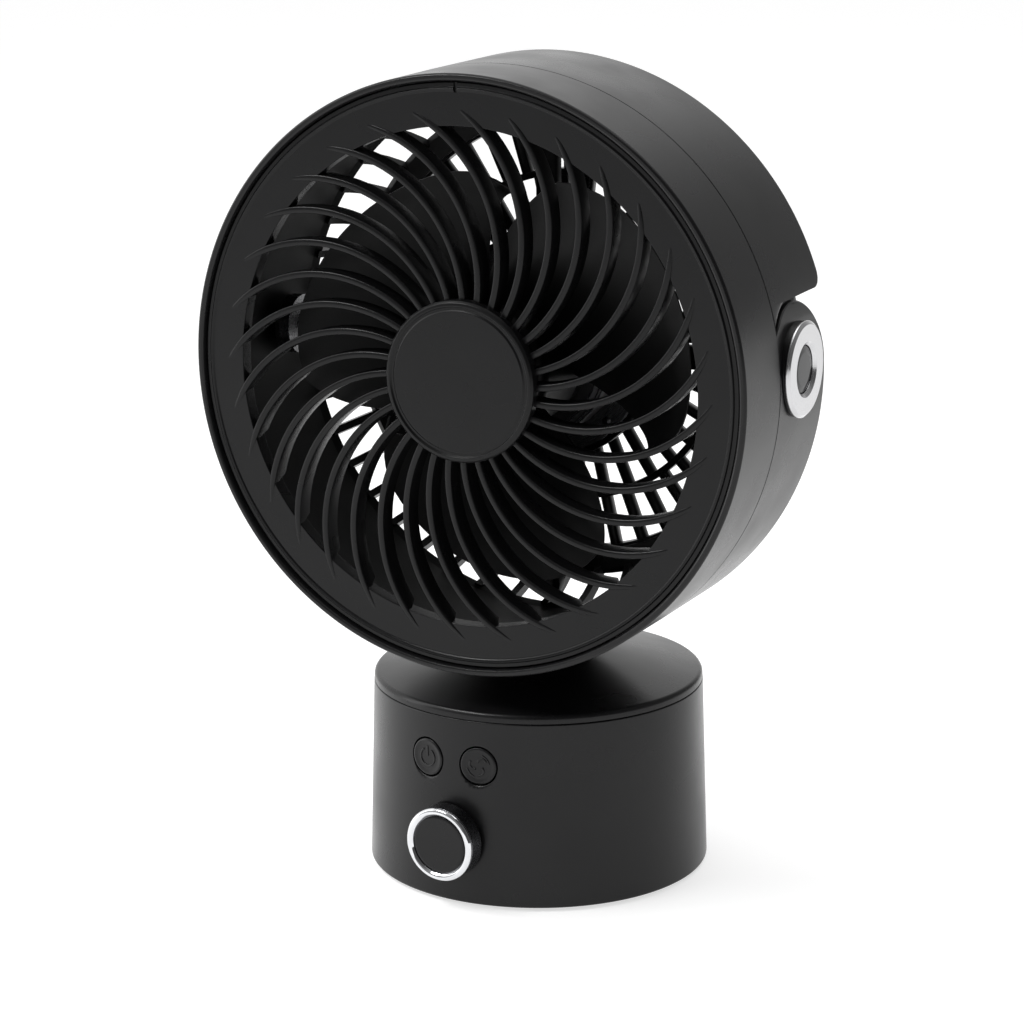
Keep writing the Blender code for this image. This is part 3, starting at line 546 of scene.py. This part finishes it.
def band_section(outer, inner, front_round, back_round, steps=4):
    """(radius, inset, side) for each point of a wall's section. side is -1 at the front, 1 at the back."""
    section = []
    for side, rounding in ((-1, front_round), (1, back_round)):
        bends = [math.radians(90 * i / steps) for i in range(steps + 1)]
        arcs = [(1 - math.cos(bend), 1 - math.sin(bend)) for bend in bends]
        outside = [(outer - rounding * rise, rounding * inset, side) for rise, inset in arcs]
        inside = [(inner + 0.4 * rise, 0.4 * inset, side) for rise, inset in arcs]
        edge = outside + inside[::-1]
        section += edge[::-1] if side < 0 else edge
    return section


def on_head(radius, angle, y):
    """A point at an angle round the head's axis, as (x, y, z)."""
    return (radius * math.cos(angle), y, HEAD_Z + radius * math.sin(angle))


def at_height(radius, z, y, right):
    """A point at a height on a cylinder about the head's axis, on its right or left side."""
    up = z - HEAD_Z
    x = math.sqrt(radius * radius - up * up)
    return (x if right else -x, y, z)


def lofted(name, columns, finish):
    """Joins one column of points to the next, and closes the ends."""
    points = [point for column in columns for point in column]
    return made_piece(name, points, skin(len(columns), len(columns[0])), finish, UPRIGHT)


# %% Arms and band
RELIEF_START_R = 16.3
RELIEF_SLOPE = 0.3577
TIP_FLAT_R = 24.0
TIP_FLAT_X = 96.1


def relieved(point):
    """Draws a point in where an arm's tip has to pass the front shell's rim or the drum."""
    x, y, z = point
    out = math.hypot(y - PIVOT_Y, z - PIVOT_Z)
    across = abs(x)
    if out > RELIEF_START_R and y < PIVOT_Y and z > PIVOT_Z:
        across = min(across, BAND_R - (out - RELIEF_START_R) * RELIEF_SLOPE)
    if out < TIP_FLAT_R:
        across = max(across, TIP_FLAT_X)
    return (math.copysign(across, x), y, z)


def arm_column(section, degrees, right):
    """The band's section where an arm's rounded tip has turned through an angle from level."""
    column = []
    for radius, inset, side in section:
        tip_r = ARM_TIP_R - inset
        z = PIVOT_Z + tip_r * math.sin(math.radians(degrees))
        reach = tip_r * math.cos(math.radians(degrees))
        if side > 0:
            y = PIVOT_Y + reach
        else:
            y = max(BAND_FRONT_Y + inset, PIVOT_Y - reach)
        column.append(relieved(at_height(radius, z, y, right)))
    return column


def band_column(section, degrees):
    """The band's section at an angle round the head's axis."""
    column = []
    for radius, inset, side in section:
        y = BAND_FRONT_Y + inset if side < 0 else BAND_BACK_Y - inset
        column.append(relieved(on_head(radius, math.radians(degrees), y)))
    return column


section = band_section(BAND_R, BAND_INNER_R, 0.35, 0.9)
tip_steps = [90 - 90 * (i / 30) ** 1.15 for i in range(31)]
columns = [arm_column(section, turn, True) for turn in tip_steps]
columns += [band_column(section, -1.5 * i) for i in range(121)]
columns += [arm_column(section, turn, False) for turn in reversed(tip_steps)]
yoke_band = lofted("yoke_band", columns, satin_black)
settle(yoke_band, "turntable", "housing_black", "yoke")

# %% [markdown]
# The neck that carries the band comes up through the cover, and a low round boss on each arm lifts the
# silver ring clear of the band. Both belong to the yoke's moulding.

# %% Neck and pivot bosses
neck = turned("yoke_neck", [
    (9.3, 84.9), (18.6, 84.9), (19.6, 83.2, 0.4), (20.0, neck_hole_z + 0.3, 0.3), (17.1, neck_hole_z + 0.3),
    (17.1, 69.0), (9.3, 69.0),
], satin_black, UPRIGHT, 128)
settle(neck, "turntable", "housing_black")
for side, place in (("right", PIVOT_RIGHT), ("left", PIVOT_LEFT)):
    boss = turned(f"pivot_boss_{side}", [
        (6.4, 101.5), (15.8, 101.5, 0.35), (15.8, 98.0), (6.4, 98.0),
    ], satin_black, place, 96)
    settle(boss, "turntable", "housing_black")

# %% [markdown]
# ## Pivot rings
#
# A thick silver ring caps each pivot: a bright turned face, a rounded outer edge and a chamfer that leads
# down to a dark glossy plug.

# %% Silver rings and plugs
RING_FACE = 103.3
for side, place in (("right", PIVOT_RIGHT), ("left", PIVOT_LEFT)):
    silver = turned(f"silver_ring_{side}", [
        (9.3, RING_FACE, 0.3), (15.0, RING_FACE, 0.5), (16.1, RING_FACE - 0.9, 0.4),
        (16.1, RING_FACE - 1.6, 0.15), (8.1, RING_FACE - 1.6), (8.1, RING_FACE - 1.1, 0.2),
    ], pivot_silver, place, 128)
    settle(silver, "turntable", "chrome", f"pivot_ring_{side}")
    plug = turned(f"dark_plug_{side}", [
        (0, RING_FACE - 0.95), (5.6, RING_FACE - 1.0, 2.0), (7.8, RING_FACE - 1.35, 0.2),
        (7.8, RING_FACE - 1.6), (0, RING_FACE - 1.6),
    ], knob_black, place, 96)
    settle(plug, "turntable", "gloss_black", f"pivot_plug_{side}")

# %% [markdown]
# ## Front shell
#
# The front shell is a deep ring. A fine lip runs round its front edge, and a groove inside the lip
# separates it from the grille. At the back its rim is thinned from inside, where the arms' tips pass.

# %% Front ring
front_ring = turned("front_ring", [
    (98.8, 58.35, 0.25), (99.3, 58.6, 0.3), (100.3, 58.6, 0.7), (100.95, 57.9, 0.9), (101.2, 29.75, 0.25),
    (100.8, 29.75), (99.5, 34.0), (98.6, 34.4), (98.6, 46.6), (94.2, 46.6), (94.2, 48.6), (98.3, 48.6),
    (98.3, 57.6),
], satin_black, HEAD, 256)
settle(front_ring, "head", "housing_black", "front_shell")

# %% [markdown]
# ## Front grille
#
# The grille has a flat border and 32 ribs. Each rib is a deep thin blade that leaves the hub, swings
# round in a single arc and runs out on to the border, where it fades to nothing. All 32 are the same
# shape, so one rib is made in code and a small Geometry Nodes tree turns copies of it round the axis.


# %% A ring of copies with Geometry Nodes
def ring_tree():
    """The tree: copies of the mesh it is given, turned evenly round Z."""
    tree = bpy.data.node_groups.new("ring_of_copies", "GeometryNodeTree")
    face = tree.interface
    face.new_socket("Geometry", in_out="INPUT", socket_type="NodeSocketGeometry")
    face.new_socket("Count", in_out="INPUT", socket_type="NodeSocketInt")
    face.new_socket("First Turn", in_out="INPUT", socket_type="NodeSocketFloat")
    face.new_socket("Finish", in_out="INPUT", socket_type="NodeSocketMaterial")
    face.new_socket("Geometry", in_out="OUTPUT", socket_type="NodeSocketGeometry")
    new = tree.nodes.new
    link = tree.links.new
    given = new("NodeGroupInput")
    spots = new("GeometryNodePoints")
    order = new("GeometryNodeInputIndex")
    share = new("ShaderNodeMath")
    share.operation = "DIVIDE"
    turn = new("ShaderNodeMath")
    turn.operation = "MULTIPLY_ADD"
    turn.inputs[1].default_value = math.tau
    angles = new("ShaderNodeCombineXYZ")
    copies = new("GeometryNodeInstanceOnPoints")
    real = new("GeometryNodeRealizeInstances")
    dress = new("GeometryNodeSetMaterial")
    result = new("NodeGroupOutput")
    link(given.outputs["Count"], spots.inputs["Count"])
    link(order.outputs["Index"], share.inputs[0])
    link(given.outputs["Count"], share.inputs[1])
    link(share.outputs[0], turn.inputs[0])
    link(given.outputs["First Turn"], turn.inputs[2])
    link(turn.outputs[0], angles.inputs["Z"])
    link(spots.outputs[0], copies.inputs["Points"])
    link(given.outputs["Geometry"], copies.inputs["Instance"])
    link(angles.outputs[0], copies.inputs["Rotation"])
    link(copies.outputs[0], real.inputs[0])
    link(real.outputs[0], dress.inputs["Geometry"])
    link(given.outputs["Finish"], dress.inputs["Material"])
    link(dress.outputs[0], result.inputs[0])
    return tree


RING_OF_COPIES = ring_tree()


def ring_of(name, points, faces, count, first_degrees, finish, place):
    """One shape copied round its Z axis, as a plain mesh carried to its place."""
    single = made_piece(name, points, faces, finish, UPRIGHT, False)
    maker = single.modifiers.new("ring", "NODES")
    maker.node_group = RING_OF_COPIES
    inputs = [item for item in RING_OF_COPIES.interface.items_tree if item.in_out == "INPUT"]
    sockets = {item.name: item.identifier for item in inputs}
    maker[sockets["Count"]] = count
    maker[sockets["First Turn"]] = math.radians(first_degrees)
    maker[sockets["Finish"]] = finish
    bpy.context.view_layer.update()
    seen = single.evaluated_get(bpy.context.evaluated_depsgraph_get())
    mesh = bpy.data.meshes.new_from_object(seen)
    mesh.transform(place)
    single.modifiers.clear()
    single.data = mesh
    mesh.shade_smooth()
    mesh.set_sharp_from_angle(angle=math.radians(50))
    return single


# %% Grille border
BORDER_H = 57.0
GRILLE_OPEN_R = 83.7
border = turned("grille_border", [
    (GRILLE_OPEN_R, BORDER_H, 0.35), (95.0, BORDER_H, 0.5), (95.3, BORDER_H + 0.35, 0.3),
    (96.0, BORDER_H + 0.5, 0.3), (96.5, BORDER_H - 0.1, 0.3), (97.9, BORDER_H - 0.15, 0.3), (97.9, 49.2),
    (95.0, 49.2), (95.0, 54.5), (85.4, 54.5), (85.2, 51.5, 0.3), (GRILLE_OPEN_R, 51.5, 0.3),
], grille_black, HEAD, 256)
NOTCH_TURN = math.radians(91)
notch_corners = ((94.6, -0.55), (98.4, -0.55), (98.4, 0.55), (94.6, 0.55))
notch_points = [(x, y, height) for height in (56.4, 60) for x, y in notch_corners]
notch_place = HEAD @ Matrix.Rotation(NOTCH_TURN, 4, "Z")
notch = made_piece("border_notch", notch_points, skin(2, 4), grille_black, notch_place, False)
settle(cut(border, [notch]), "head", "housing_black", "front_grille")

# %% Curved ribs
RIB_COUNT = 32
RIB_ARC_R = 50.56
RIB_ARC_CENTRE = 55.54
RIB_FIRST = 65.0
RIB_START_R = 24.0
RIB_END_R = 89.6


def rib_angle(radius):
    """The angle of a rib's middle at a radius: the rib is an arc about a point off the axis."""
    cosine = (radius ** 2 + RIB_ARC_CENTRE ** 2 - RIB_ARC_R ** 2) / (2 * radius * RIB_ARC_CENTRE)
    return -math.acos(cosine)


def rib_shape(steps=30):
    """One rib: a rounded front edge, a deep flat body, and a tail that sinks into the border."""
    half_section = [(0.3, -0.015), (0.45, -0.07), (0.5, -0.16), (0.45, -1)]
    section = [(-across, down) for across, down in half_section[::-1]] + [(0, 0)] + half_section
    points = []
    radii = [RIB_START_R + (RIB_END_R - RIB_START_R) * i / steps for i in range(steps + 1)]
    for radius in radii:
        fade = max(0.0, (radius - GRILLE_OPEN_R) / (RIB_END_R - GRILLE_OPEN_R))
        width = 2.3 * (1 - 0.4 * fade)
        top = BORDER_H + 0.5 * (1 - fade ** 1.5) - 0.06 * fade
        depth = 7.2 if radius < GRILLE_OPEN_R + 0.3 else 1.2
        angle = rib_angle(radius)
        ahead = rib_angle(radius + 0.5)
        here = Vector((radius * math.cos(angle), radius * math.sin(angle)))
        next_one = Vector(((radius + 0.5) * math.cos(ahead), (radius + 0.5) * math.sin(ahead)))
        along = (next_one - here).normalized()
        side = Vector((along.y, -along.x))
        for across, down in section:
            spot = here + side * across * width
            drop = min(-down, 0.16) * 3.4 + max(0.0, -down - 0.16) / 0.84 * (depth - 0.54)
            points.append((spot.x, spot.y, top - drop))
    return points, skin(len(radii), len(section))


ribs = ring_of("grille_ribs", *rib_shape(), RIB_COUNT, RIB_FIRST, grille_black, HEAD)
settle(ribs, "head", "housing_black")

# %% [markdown]
# The hub's cap covers the ribs' roots. It's a flat satin disc with a fine step round its edge, which
# takes the strongest highlight on the grille.

# %% Hub cap
hub_cap = turned("hub_disc", [
    (0, 60.35), (23.6, 60.35, 0.4), (24.2, 60.0, 0.3), (24.9, 60.0, 0.2), (25.4, 60.6, 0.4),
    (26.4, 60.45, 0.6), (27.2, 59.6, 0.6), (27.2, 56.0, 0.2), (0, 56.0),
], grille_black, HEAD, 160)
settle(hub_cap, "head", "housing_black", "hub_cap")

# %% [markdown]
# ## Rear shell
#
# Behind the seam the head has two skins. The inner one is a drum whose back is a rounded shoulder,
# pierced by a row of windows between straight bars. The outer one is the upper cowl, which continues the
# front shell's outside and stops above the arms, so its edge has the arm's half circle cut out of it with
# a small gap.

# %% Drum, shoulder bars and back ring
inner_drum = turned("rear_drum", [
    (95.5, 44, 0.3), (95.5, -4, 3.0), (94.5, -8.2, 0.3), (92.3, -7.6, 0.3), (93.3, -3.6, 3.0),
    (93.3, 44, 0.3),
], matte_black_painted_shade, HEAD, 192)
settle(inner_drum, "head", "housing_black", "rear_shell")
back_ring = turned("rear_shoulder_ring", [
    (86.2, -25.2, 0.3), (85.6, -27.0, 1.0), (82.3, -31.5, 1.2), (79.8, -31.5, 0.3), (79.8, -27.0),
    (77.2, -27.0), (77.2, -25.2), (84.2, -24.4, 0.3),
], satin_black, HEAD, 192)
settle(back_ring, "head", "housing_black")

SHOULDER_BARS = 44
SHOULDER_HALF = 1.7


def shoulder_bar():
    """One bar of the shoulder: a plank that follows the shoulder's curve from the drum to the back ring."""
    outer = [(95.0, -6.0), (94.2, -9.5), (92.8, -14.0), (90.6, -19.0), (87.6, -24.0), (84.6, -28.2)]
    half_section = [(SHOULDER_HALF - 0.3, 0), (SHOULDER_HALF, 0.3), (SHOULDER_HALF - 0.4, 3.0)]
    section = [(-across, inward) for across, inward in half_section] + half_section[::-1]
    points = []
    for radius, height in outer:
        points += [(radius - inward, across, height + inward * 0.45) for across, inward in section]
    return points, skin(len(outer), len(section))


shoulder = ring_of("rear_shoulder_bars", *shoulder_bar(), SHOULDER_BARS, 0, satin_black, HEAD)
settle(shoulder, "head", "housing_black")

# %% Upper cowl
COWL_BACK_Y = 17.0
COWL_GAP_R = 22.9
COWL_CORNER = 5.0


def cowl_tip_column(section, degrees, right):
    """The cowl's section beside the arm: its back edge follows the arm's half circle."""
    column = []
    for radius, inset, side in section:
        gap_r = COWL_GAP_R + inset
        z = PIVOT_Z + gap_r * math.sin(math.radians(degrees))
        y = PIVOT_Y - gap_r * math.cos(math.radians(degrees))
        if side < 0:
            y = min(BAND_FRONT_Y + inset, y)
        column.append(at_height(radius, z, max(y, BAND_FRONT_Y + min(inset, 0.3)), right))
    return column


def cowl_foot_column(section, rise, right):
    """The cowl's section at a height over its lower edge, where its rear corner is rounded."""
    corner = COWL_CORNER - math.sqrt(COWL_CORNER ** 2 - (COWL_CORNER - rise) ** 2)
    column = []
    for radius, inset, side in section:
        y = BAND_FRONT_Y + inset if side < 0 else COWL_BACK_Y - inset - corner
        column.append(at_height(radius, PIVOT_Z + COWL_GAP_R + 0.35 + rise, y, right))
    return column


def cowl_column(section, degrees):
    """The cowl's section at an angle round the head's axis."""
    column = []
    for radius, inset, side in section:
        y = BAND_FRONT_Y + inset if side < 0 else COWL_BACK_Y - inset
        column.append(on_head(radius, math.radians(degrees), y))
    return column


section = band_section(BAND_R, 98.6, 0.35, 2.2)
first_turn = math.degrees(math.acos((PIVOT_Y - BAND_FRONT_Y) / COWL_GAP_R))
turns = [first_turn + (90 - first_turn) * i / 16 for i in range(17)]
columns = [cowl_tip_column(section, turn, True) for turn in turns]
rises = [COWL_CORNER * (1 - math.cos(math.radians(90 * i / 8))) for i in range(9)]
columns += [cowl_foot_column(section, rise, True) for rise in rises]
columns += [cowl_column(section, 20 + 140 * i / 100) for i in range(101)]
columns += [cowl_foot_column(section, rise, False) for rise in reversed(rises)]
columns += [cowl_tip_column(section, turn, False) for turn in reversed(turns)]
cowl = lofted("upper_cowl", columns, satin_black)
settle(cowl, "head", "housing_black")

# %% [markdown]
# The cowl is joined to the drum by a flange at the seam and a web behind. Each is the same kind of loft,
# over the part of the circle that the cowl covers.


# %% Cowl flange and web
def arch(name, outline, first, last, finish, steps=96):
    """A section of (radius, height forward) corners carried over the top of the head."""
    corners = soften(outline)
    columns = []
    for i in range(steps + 1):
        angle = math.radians(first + (last - first) * i / steps)
        columns.append([on_head(radius, angle, -height) for radius, height in corners])
    return lofted(name, columns, finish)


COWL_SPAN = (16.6, 163.4)
flange_outline = [(98.9, 29.3), (98.9, 27.4), (95.2, 27.4), (95.2, 29.3)]
flange = arch("cowl_flange", flange_outline, *COWL_SPAN, satin_black)
settle(flange, "head", "housing_black")
web = arch("cowl_web", [
    (99.6, -16.6, 0.5), (98.2, -16.6, 0.5), (95.0, -5.0), (95.0, -2.2), (98.8, -12.5), (99.8, -13.5),
], *COWL_SPAN, satin_black)
settle(web, "head", "housing_black")

# %% [markdown]
# ## Rear grille
#
# The back of the head is a wheel of straight bars in two rows, 36 inside and 45 outside, with a ring
# between. Light comes through it from behind, so the bars' depth matters: their grey sides show from the
# front.


# %% Bars and rings
def bar_shape(inner, outer, width, front, back):
    """A straight radial bar with rounded edges."""
    half = width / 2
    section = [(-half, back + 0.4), (-half, front - 0.4), (-half + 0.4, front), (half - 0.4, front),
               (half, front - 0.4), (half, back + 0.4), (half - 0.4, back), (-half + 0.4, back)]
    points = [(radius, across, height) for radius in (inner, outer) for across, height in section]
    return points, skin(2, len(section))


BACK_FRONT_H = -26.9
BACK_H = -31.3
BAR_FRONT_H = BACK_FRONT_H - 0.3
BAR_BACK_H = BACK_H + 0.3
FIRST_BAR = 3.0
inner_bar = bar_shape(27.0, 57.5, 3.3, BAR_FRONT_H, BAR_BACK_H)
inner_bars = ring_of("rear_bars_inner", *inner_bar, 36, FIRST_BAR, satin_black, HEAD)
settle(inner_bars, "head", "housing_black", "rear_grille")
outer_bar = bar_shape(58.0, 77.5, 3.5, BAR_FRONT_H, BAR_BACK_H)
outer_bars = ring_of("rear_bars_outer", *outer_bar, 45, FIRST_BAR, satin_black, HEAD)
settle(outer_bars, "head", "housing_black")
for name, inner, outer in (("rear_ring_middle", 56.4, 58.9), ("rear_ring_outer", 76.2, 79.5)):
    ring = turned(name, [
        (inner, BACK_FRONT_H, 0.4), (outer, BACK_FRONT_H, 0.4), (outer, BACK_H, 0.4), (inner, BACK_H, 0.4),
    ], satin_black, HEAD, 160)
    settle(ring, "head", "housing_black")
back_plate = turned("rear_plate", [
    (0, BACK_FRONT_H), (28.2, BACK_FRONT_H, 0.4), (28.2, BACK_H, 0.8), (21.5, BACK_H, 0.4),
    (20.5, BACK_H + 0.8, 0.4), (0, BACK_H + 0.8),
], satin_black, HEAD, 128)
settle(back_plate, "head", "housing_black")

# %% [markdown]
# ## Motor bracket
#
# The motor hangs on a round plate with four arms. Each arm ends in a foot that is screwed to the rear
# shell.

# %% Bracket plate, arms and feet
bracket_plate = turned("bracket_plate", [
    (8.6, -7.2, 0.3), (40.0, -7.2, 0.6), (40.0, -11.8, 0.6), (8.6, -11.8, 0.3),
], matte_black_painted_shade, HEAD, 96)
settle(bracket_plate, "head", "inner_black", "motor_bracket")
bracket_arms = ring_of("bracket_arms", *bar_shape(38.0, 83.0, 8.0, -7.4, -11.6), 4, 0, matte_black_painted_shade, HEAD)
settle(bracket_arms, "head", "inner_black")
FOOT_STEPS = 36
FOOT_CENTRE = 85.6
foot_corners = soften([(2.3, -7.2, 0.2), (4.8, -7.2, 0.5), (4.8, -11.8, 0.3), (2.3, -11.8)], 3)
foot_points = []
for step in range(FOOT_STEPS):
    angle = math.tau * step / FOOT_STEPS
    foot_points += [(FOOT_CENTRE + r * math.cos(angle), r * math.sin(angle), height)
                    for r, height in foot_corners]
foot_faces = skin(FOOT_STEPS, len(foot_corners), closed=True)
bracket_feet = ring_of("bracket_feet", foot_points, foot_faces, 4, 0, matte_black_painted_shade, HEAD)
settle(bracket_feet, "head", "inner_black")

# %% [markdown]
# ## Impeller
#
# Three wide blades lean into the turn: each leaves the hub, sweeps clockwise as it goes out and drops
# from its front edge to its back edge, which leads. A blade is a twisted surface, and Solidify could give
# it a wall. Here the two sheets are made in code, so that the wall can thin towards the edges as a
# moulded blade's does. The blade's corners are rounded by drawing its outer end in towards both edges,
# and the hub is turned.

# %% Blades
BLADE_COUNT = 3
BLADE_ROOT_R = 21.6
BLADE_TIP_R = 76.0
BLADE_FIRST = 332.7
BLADE_SWEEP = 24.9
BLADE_WIDTH = 101
BLADE_FRONT_H = 39
BLADE_FALL = 21.4
BLADE_CROWN = 1.6


def blade_point(reach, chord):
    """A blade's point. reach runs from hub to tip, chord from the front edge (-0.5) to the back (0.5)."""
    corner = max(0.0, abs(chord) * 2 - 0.55) / 0.45
    drawn_in = (6.0 if chord < 0 else 9.0) * corner ** 2 + 12.5 * (chord + 0.5) ** 1.2
    radius = BLADE_ROOT_R + (BLADE_TIP_R - BLADE_ROOT_R) * reach - drawn_in * reach ** 4
    angle = math.radians(BLADE_FIRST - BLADE_SWEEP * reach - BLADE_WIDTH * (chord + 0.5))
    height = BLADE_FRONT_H - BLADE_FALL * (chord + 0.5) + BLADE_CROWN * math.cos(math.pi * chord) * reach
    return (radius * math.cos(angle), radius * math.sin(angle), height)


def blade_shape(across=36, along=26, wall=0.8):
    """A blade as a closed shell: a front sheet, a back sheet behind it and an edge between them."""
    points = []
    faces = []
    rows = [(i / along, -0.5 + j / across) for i in range(along + 1) for j in range(across + 1)]
    for side in (wall, -wall):
        for reach, chord in rows:
            here = Vector(blade_point(reach, chord))
            out = Vector(blade_point(reach + 0.01, chord)) - here
            over = Vector(blade_point(reach, chord + 0.01)) - here
            edge = max(abs(chord) * 2, reach)
            thin = 1.0 - 0.6 * max(0.0, edge - 0.85) / 0.15
            points.append(tuple(here + out.cross(over).normalized() * side * thin))
    width = across + 1
    sheet = len(rows)
    for i in range(along):
        for j in range(across):
            a = i * width + j
            faces.append((a, a + 1, a + width + 1, a + width))
            faces.append((sheet + a, sheet + a + width, sheet + a + width + 1, sheet + a + 1))
    rim = list(range(width))
    rim += [i * width + across for i in range(1, along + 1)]
    rim += [along * width + j for j in range(across - 1, -1, -1)]
    rim += [i * width for i in range(along - 1, 0, -1)]
    for i, here in enumerate(rim):
        there = rim[(i + 1) % len(rim)]
        faces.append((here, sheet + here, sheet + there, there))
    return points, faces


fan_blades = ring_of("fan_blades", *blade_shape(), BLADE_COUNT, 0, blade_black_painted_shade, HEAD)
settle(fan_blades, "rotor", "inner_black", "impeller")
fan_hub = turned("fan_hub", [
    (4.3, 44.0, 0.3), (15, 44.0, 2.0), (22.6, 40.5, 4.0), (23.0, 14.0, 0.5), (20.6, 14.0, 0.3),
    (20.2, 37.0, 2.0), (8, 41.0), (8, 20.0), (4.3, 20.0),
], blade_black_painted_shade, HEAD, 128)
settle(fan_hub, "rotor", "inner_black")

# %% [markdown]
# ## Pieces that keep the skeleton's shape
#
# Screws, shafts, bearings, gears and boards are hidden or plain, and their working shapes are already
# right. They only take their finishes.

# %% Finishes for the working parts
dressing = {
    matte_black_painted_shade: ["bottom_plate", "spinner_nut", "power_switch", "fan_switch", "dial_encoder"],
    motor_steel: ["motor_front_cover", "motor_rear_cover"],
    shaft_steel: ["motor_shaft", "dial_shaft", "yoke_spindle", "spindle_clip", "front_bearing",
                  "rear_bearing", "tilt_axle_left", "tilt_axle_right", "oscillation_motor"],
    ballast_iron: ["ballast_weight"],
    core_steel: ["rotor_core"],
    winding_copper: ["stator"],
    rubber: ["friction_washer_left", "friction_washer_right"],
    nylon: ["turntable_bearing", "ring_gear", "drive_pinion"],
    board_green: ["control_board"],
}
dressing[screw_steel] = [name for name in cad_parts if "_screw_" in name]
for finish, names in dressing.items():
    for name in names:
        for material_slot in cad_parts[name].material_slots:
            material_slot.material = finish
print("dressed:", sum(len(names) for names in dressing.values()))

# %% [markdown]
# ## Studio
#
# The fan stands on a pale floor in a white room. Black plastic shows only what it reflects, so the light
# is arranged for its edges. The room is bright behind the fan and on its left, and dimmer towards the
# viewer and on its right. The floor is a matt sheet that glows a little, which keeps its shadow faint.
# Three soft boxes draw the highlights: one over the head, a small one for the front edges and a tall one
# at the left.

# %% Floor
FLOOR_HALF = 6
FLOOR_Z = -0.1 * MM
floor_mesh = bpy.data.meshes.new("studio_floor")
corner_signs = ((-1, -1), (1, -1), (1, 1), (-1, 1))
floor_points = [(x * FLOOR_HALF, y * FLOOR_HALF, FLOOR_Z) for x, y in corner_signs]
floor_mesh.from_pydata(floor_points, [], [(0, 1, 2, 3)])
floor = bpy.data.objects.new("studio_floor", floor_mesh)
scene.collection.objects.link(floor)
floor_finish, floor_shader, _ = new_finish("studio_floor", (0.60, 0.60, 0.60), 0.9)
floor_shader.inputs["Specular IOR Level"].default_value = 0.1
floor_shader.inputs["Emission Color"].default_value = (1, 1, 1, 1)
floor_shader.inputs["Emission Strength"].default_value = 0.66
floor_mesh.materials.append(floor_finish)
print("floor", 2 * FLOOR_HALF, "m across")


# %% Room light
def fading(room, value, near, far, bright, dim):
    """A brightness that falls smoothly from bright to dim as a value goes from near to far."""
    node = room.node_tree.nodes.new("ShaderNodeMapRange")
    node.interpolation_type = "SMOOTHSTEP"
    node.inputs["From Min"].default_value = near
    node.inputs["From Max"].default_value = far
    node.inputs["To Min"].default_value = bright
    node.inputs["To Max"].default_value = dim
    room.node_tree.links.new(value, node.inputs["Value"])
    return node.outputs["Result"]


def studio_room():
    """A white room, dimmer towards the viewer and on the fan's right."""
    room = bpy.data.worlds.new("studio_room")
    room.use_nodes = True
    nodes = room.node_tree.nodes
    link = room.node_tree.links.new
    back = nodes["Background"]
    direction = nodes.new("ShaderNodeTexCoord").outputs["Generated"]
    towards = nodes.new("ShaderNodeVectorMath")
    towards.operation = "DOT_PRODUCT"
    towards.inputs[1].default_value = (0.38, -0.90, 0.20)
    link(direction, towards.inputs[0])
    sideways = nodes.new("ShaderNodeSeparateXYZ")
    link(direction, sideways.inputs["Vector"])
    both = nodes.new("ShaderNodeMath")
    both.operation = "MULTIPLY"
    link(fading(room, towards.outputs["Value"], -0.35, 0.75, 1.0, 0.25), both.inputs[0])
    link(fading(room, sideways.outputs["X"], -0.3, 0.4, 1.1, 0.3), both.inputs[1])
    link(both.outputs["Value"], back.inputs["Strength"])
    back.inputs["Color"].default_value = (1, 1, 1, 1)
    return room


scene.world = studio_room()


def soft_box(name, size, power, at, look_at):
    """A rectangular area light."""
    lamp = bpy.data.lights.new(name, "AREA")
    lamp.shape = "RECTANGLE"
    lamp.size, lamp.size_y = size
    lamp.energy = power
    obj = bpy.data.objects.new(name, lamp)
    scene.collection.objects.link(obj)
    obj.location = at
    obj.rotation_euler = (Vector(look_at) - Vector(at)).to_track_quat("-Z", "Y").to_euler()
    return obj


FAN_MIDDLE = (0, 0, 0.15)
soft_box("top_light", (1.6, 1.2), 9, (0.2, 0.3, 1.7), FAN_MIDDLE)
soft_box("edge_light", (0.6, 0.25), 7, (-0.56, -0.58, 1.15), FAN_MIDDLE)
soft_box("left_light", (0.5, 1.4), 5, (-1.3, -0.5, 0.6), FAN_MIDDLE)
print("lights:", len(bpy.data.lights))

# %% [markdown]
# ## Camera
#
# A long lens from a little over a metre away and a little above keeps the round head nearly round. The
# camera is turned by its own three directions: right and up are given, and back follows from them.

# %% Camera
camera_data = bpy.data.cameras.new("camera")
camera_data.sensor_width = 36.0
camera_data.lens = 111.92
camera_data.clip_start = 0.05
camera_data.clip_end = 30.0
camera = bpy.data.objects.new("camera", camera_data)
scene.collection.objects.link(camera)
camera_right = Vector((0.89854, 0.43885, -0.00564))
camera_up = Vector((-0.10481, 0.22703, 0.96823))
camera_back = camera_right.cross(camera_up)
turn = Matrix((camera_right, camera_up, camera_back)).transposed().to_4x4()
camera.matrix_world = Matrix.Translation((0.46536, -0.96990, 0.40292)) @ turn
scene.camera = camera
scene.view_settings.view_transform = "Standard"
print("lens", camera_data.lens, "mm at", [round(value, 3) for value in camera.matrix_world.translation])
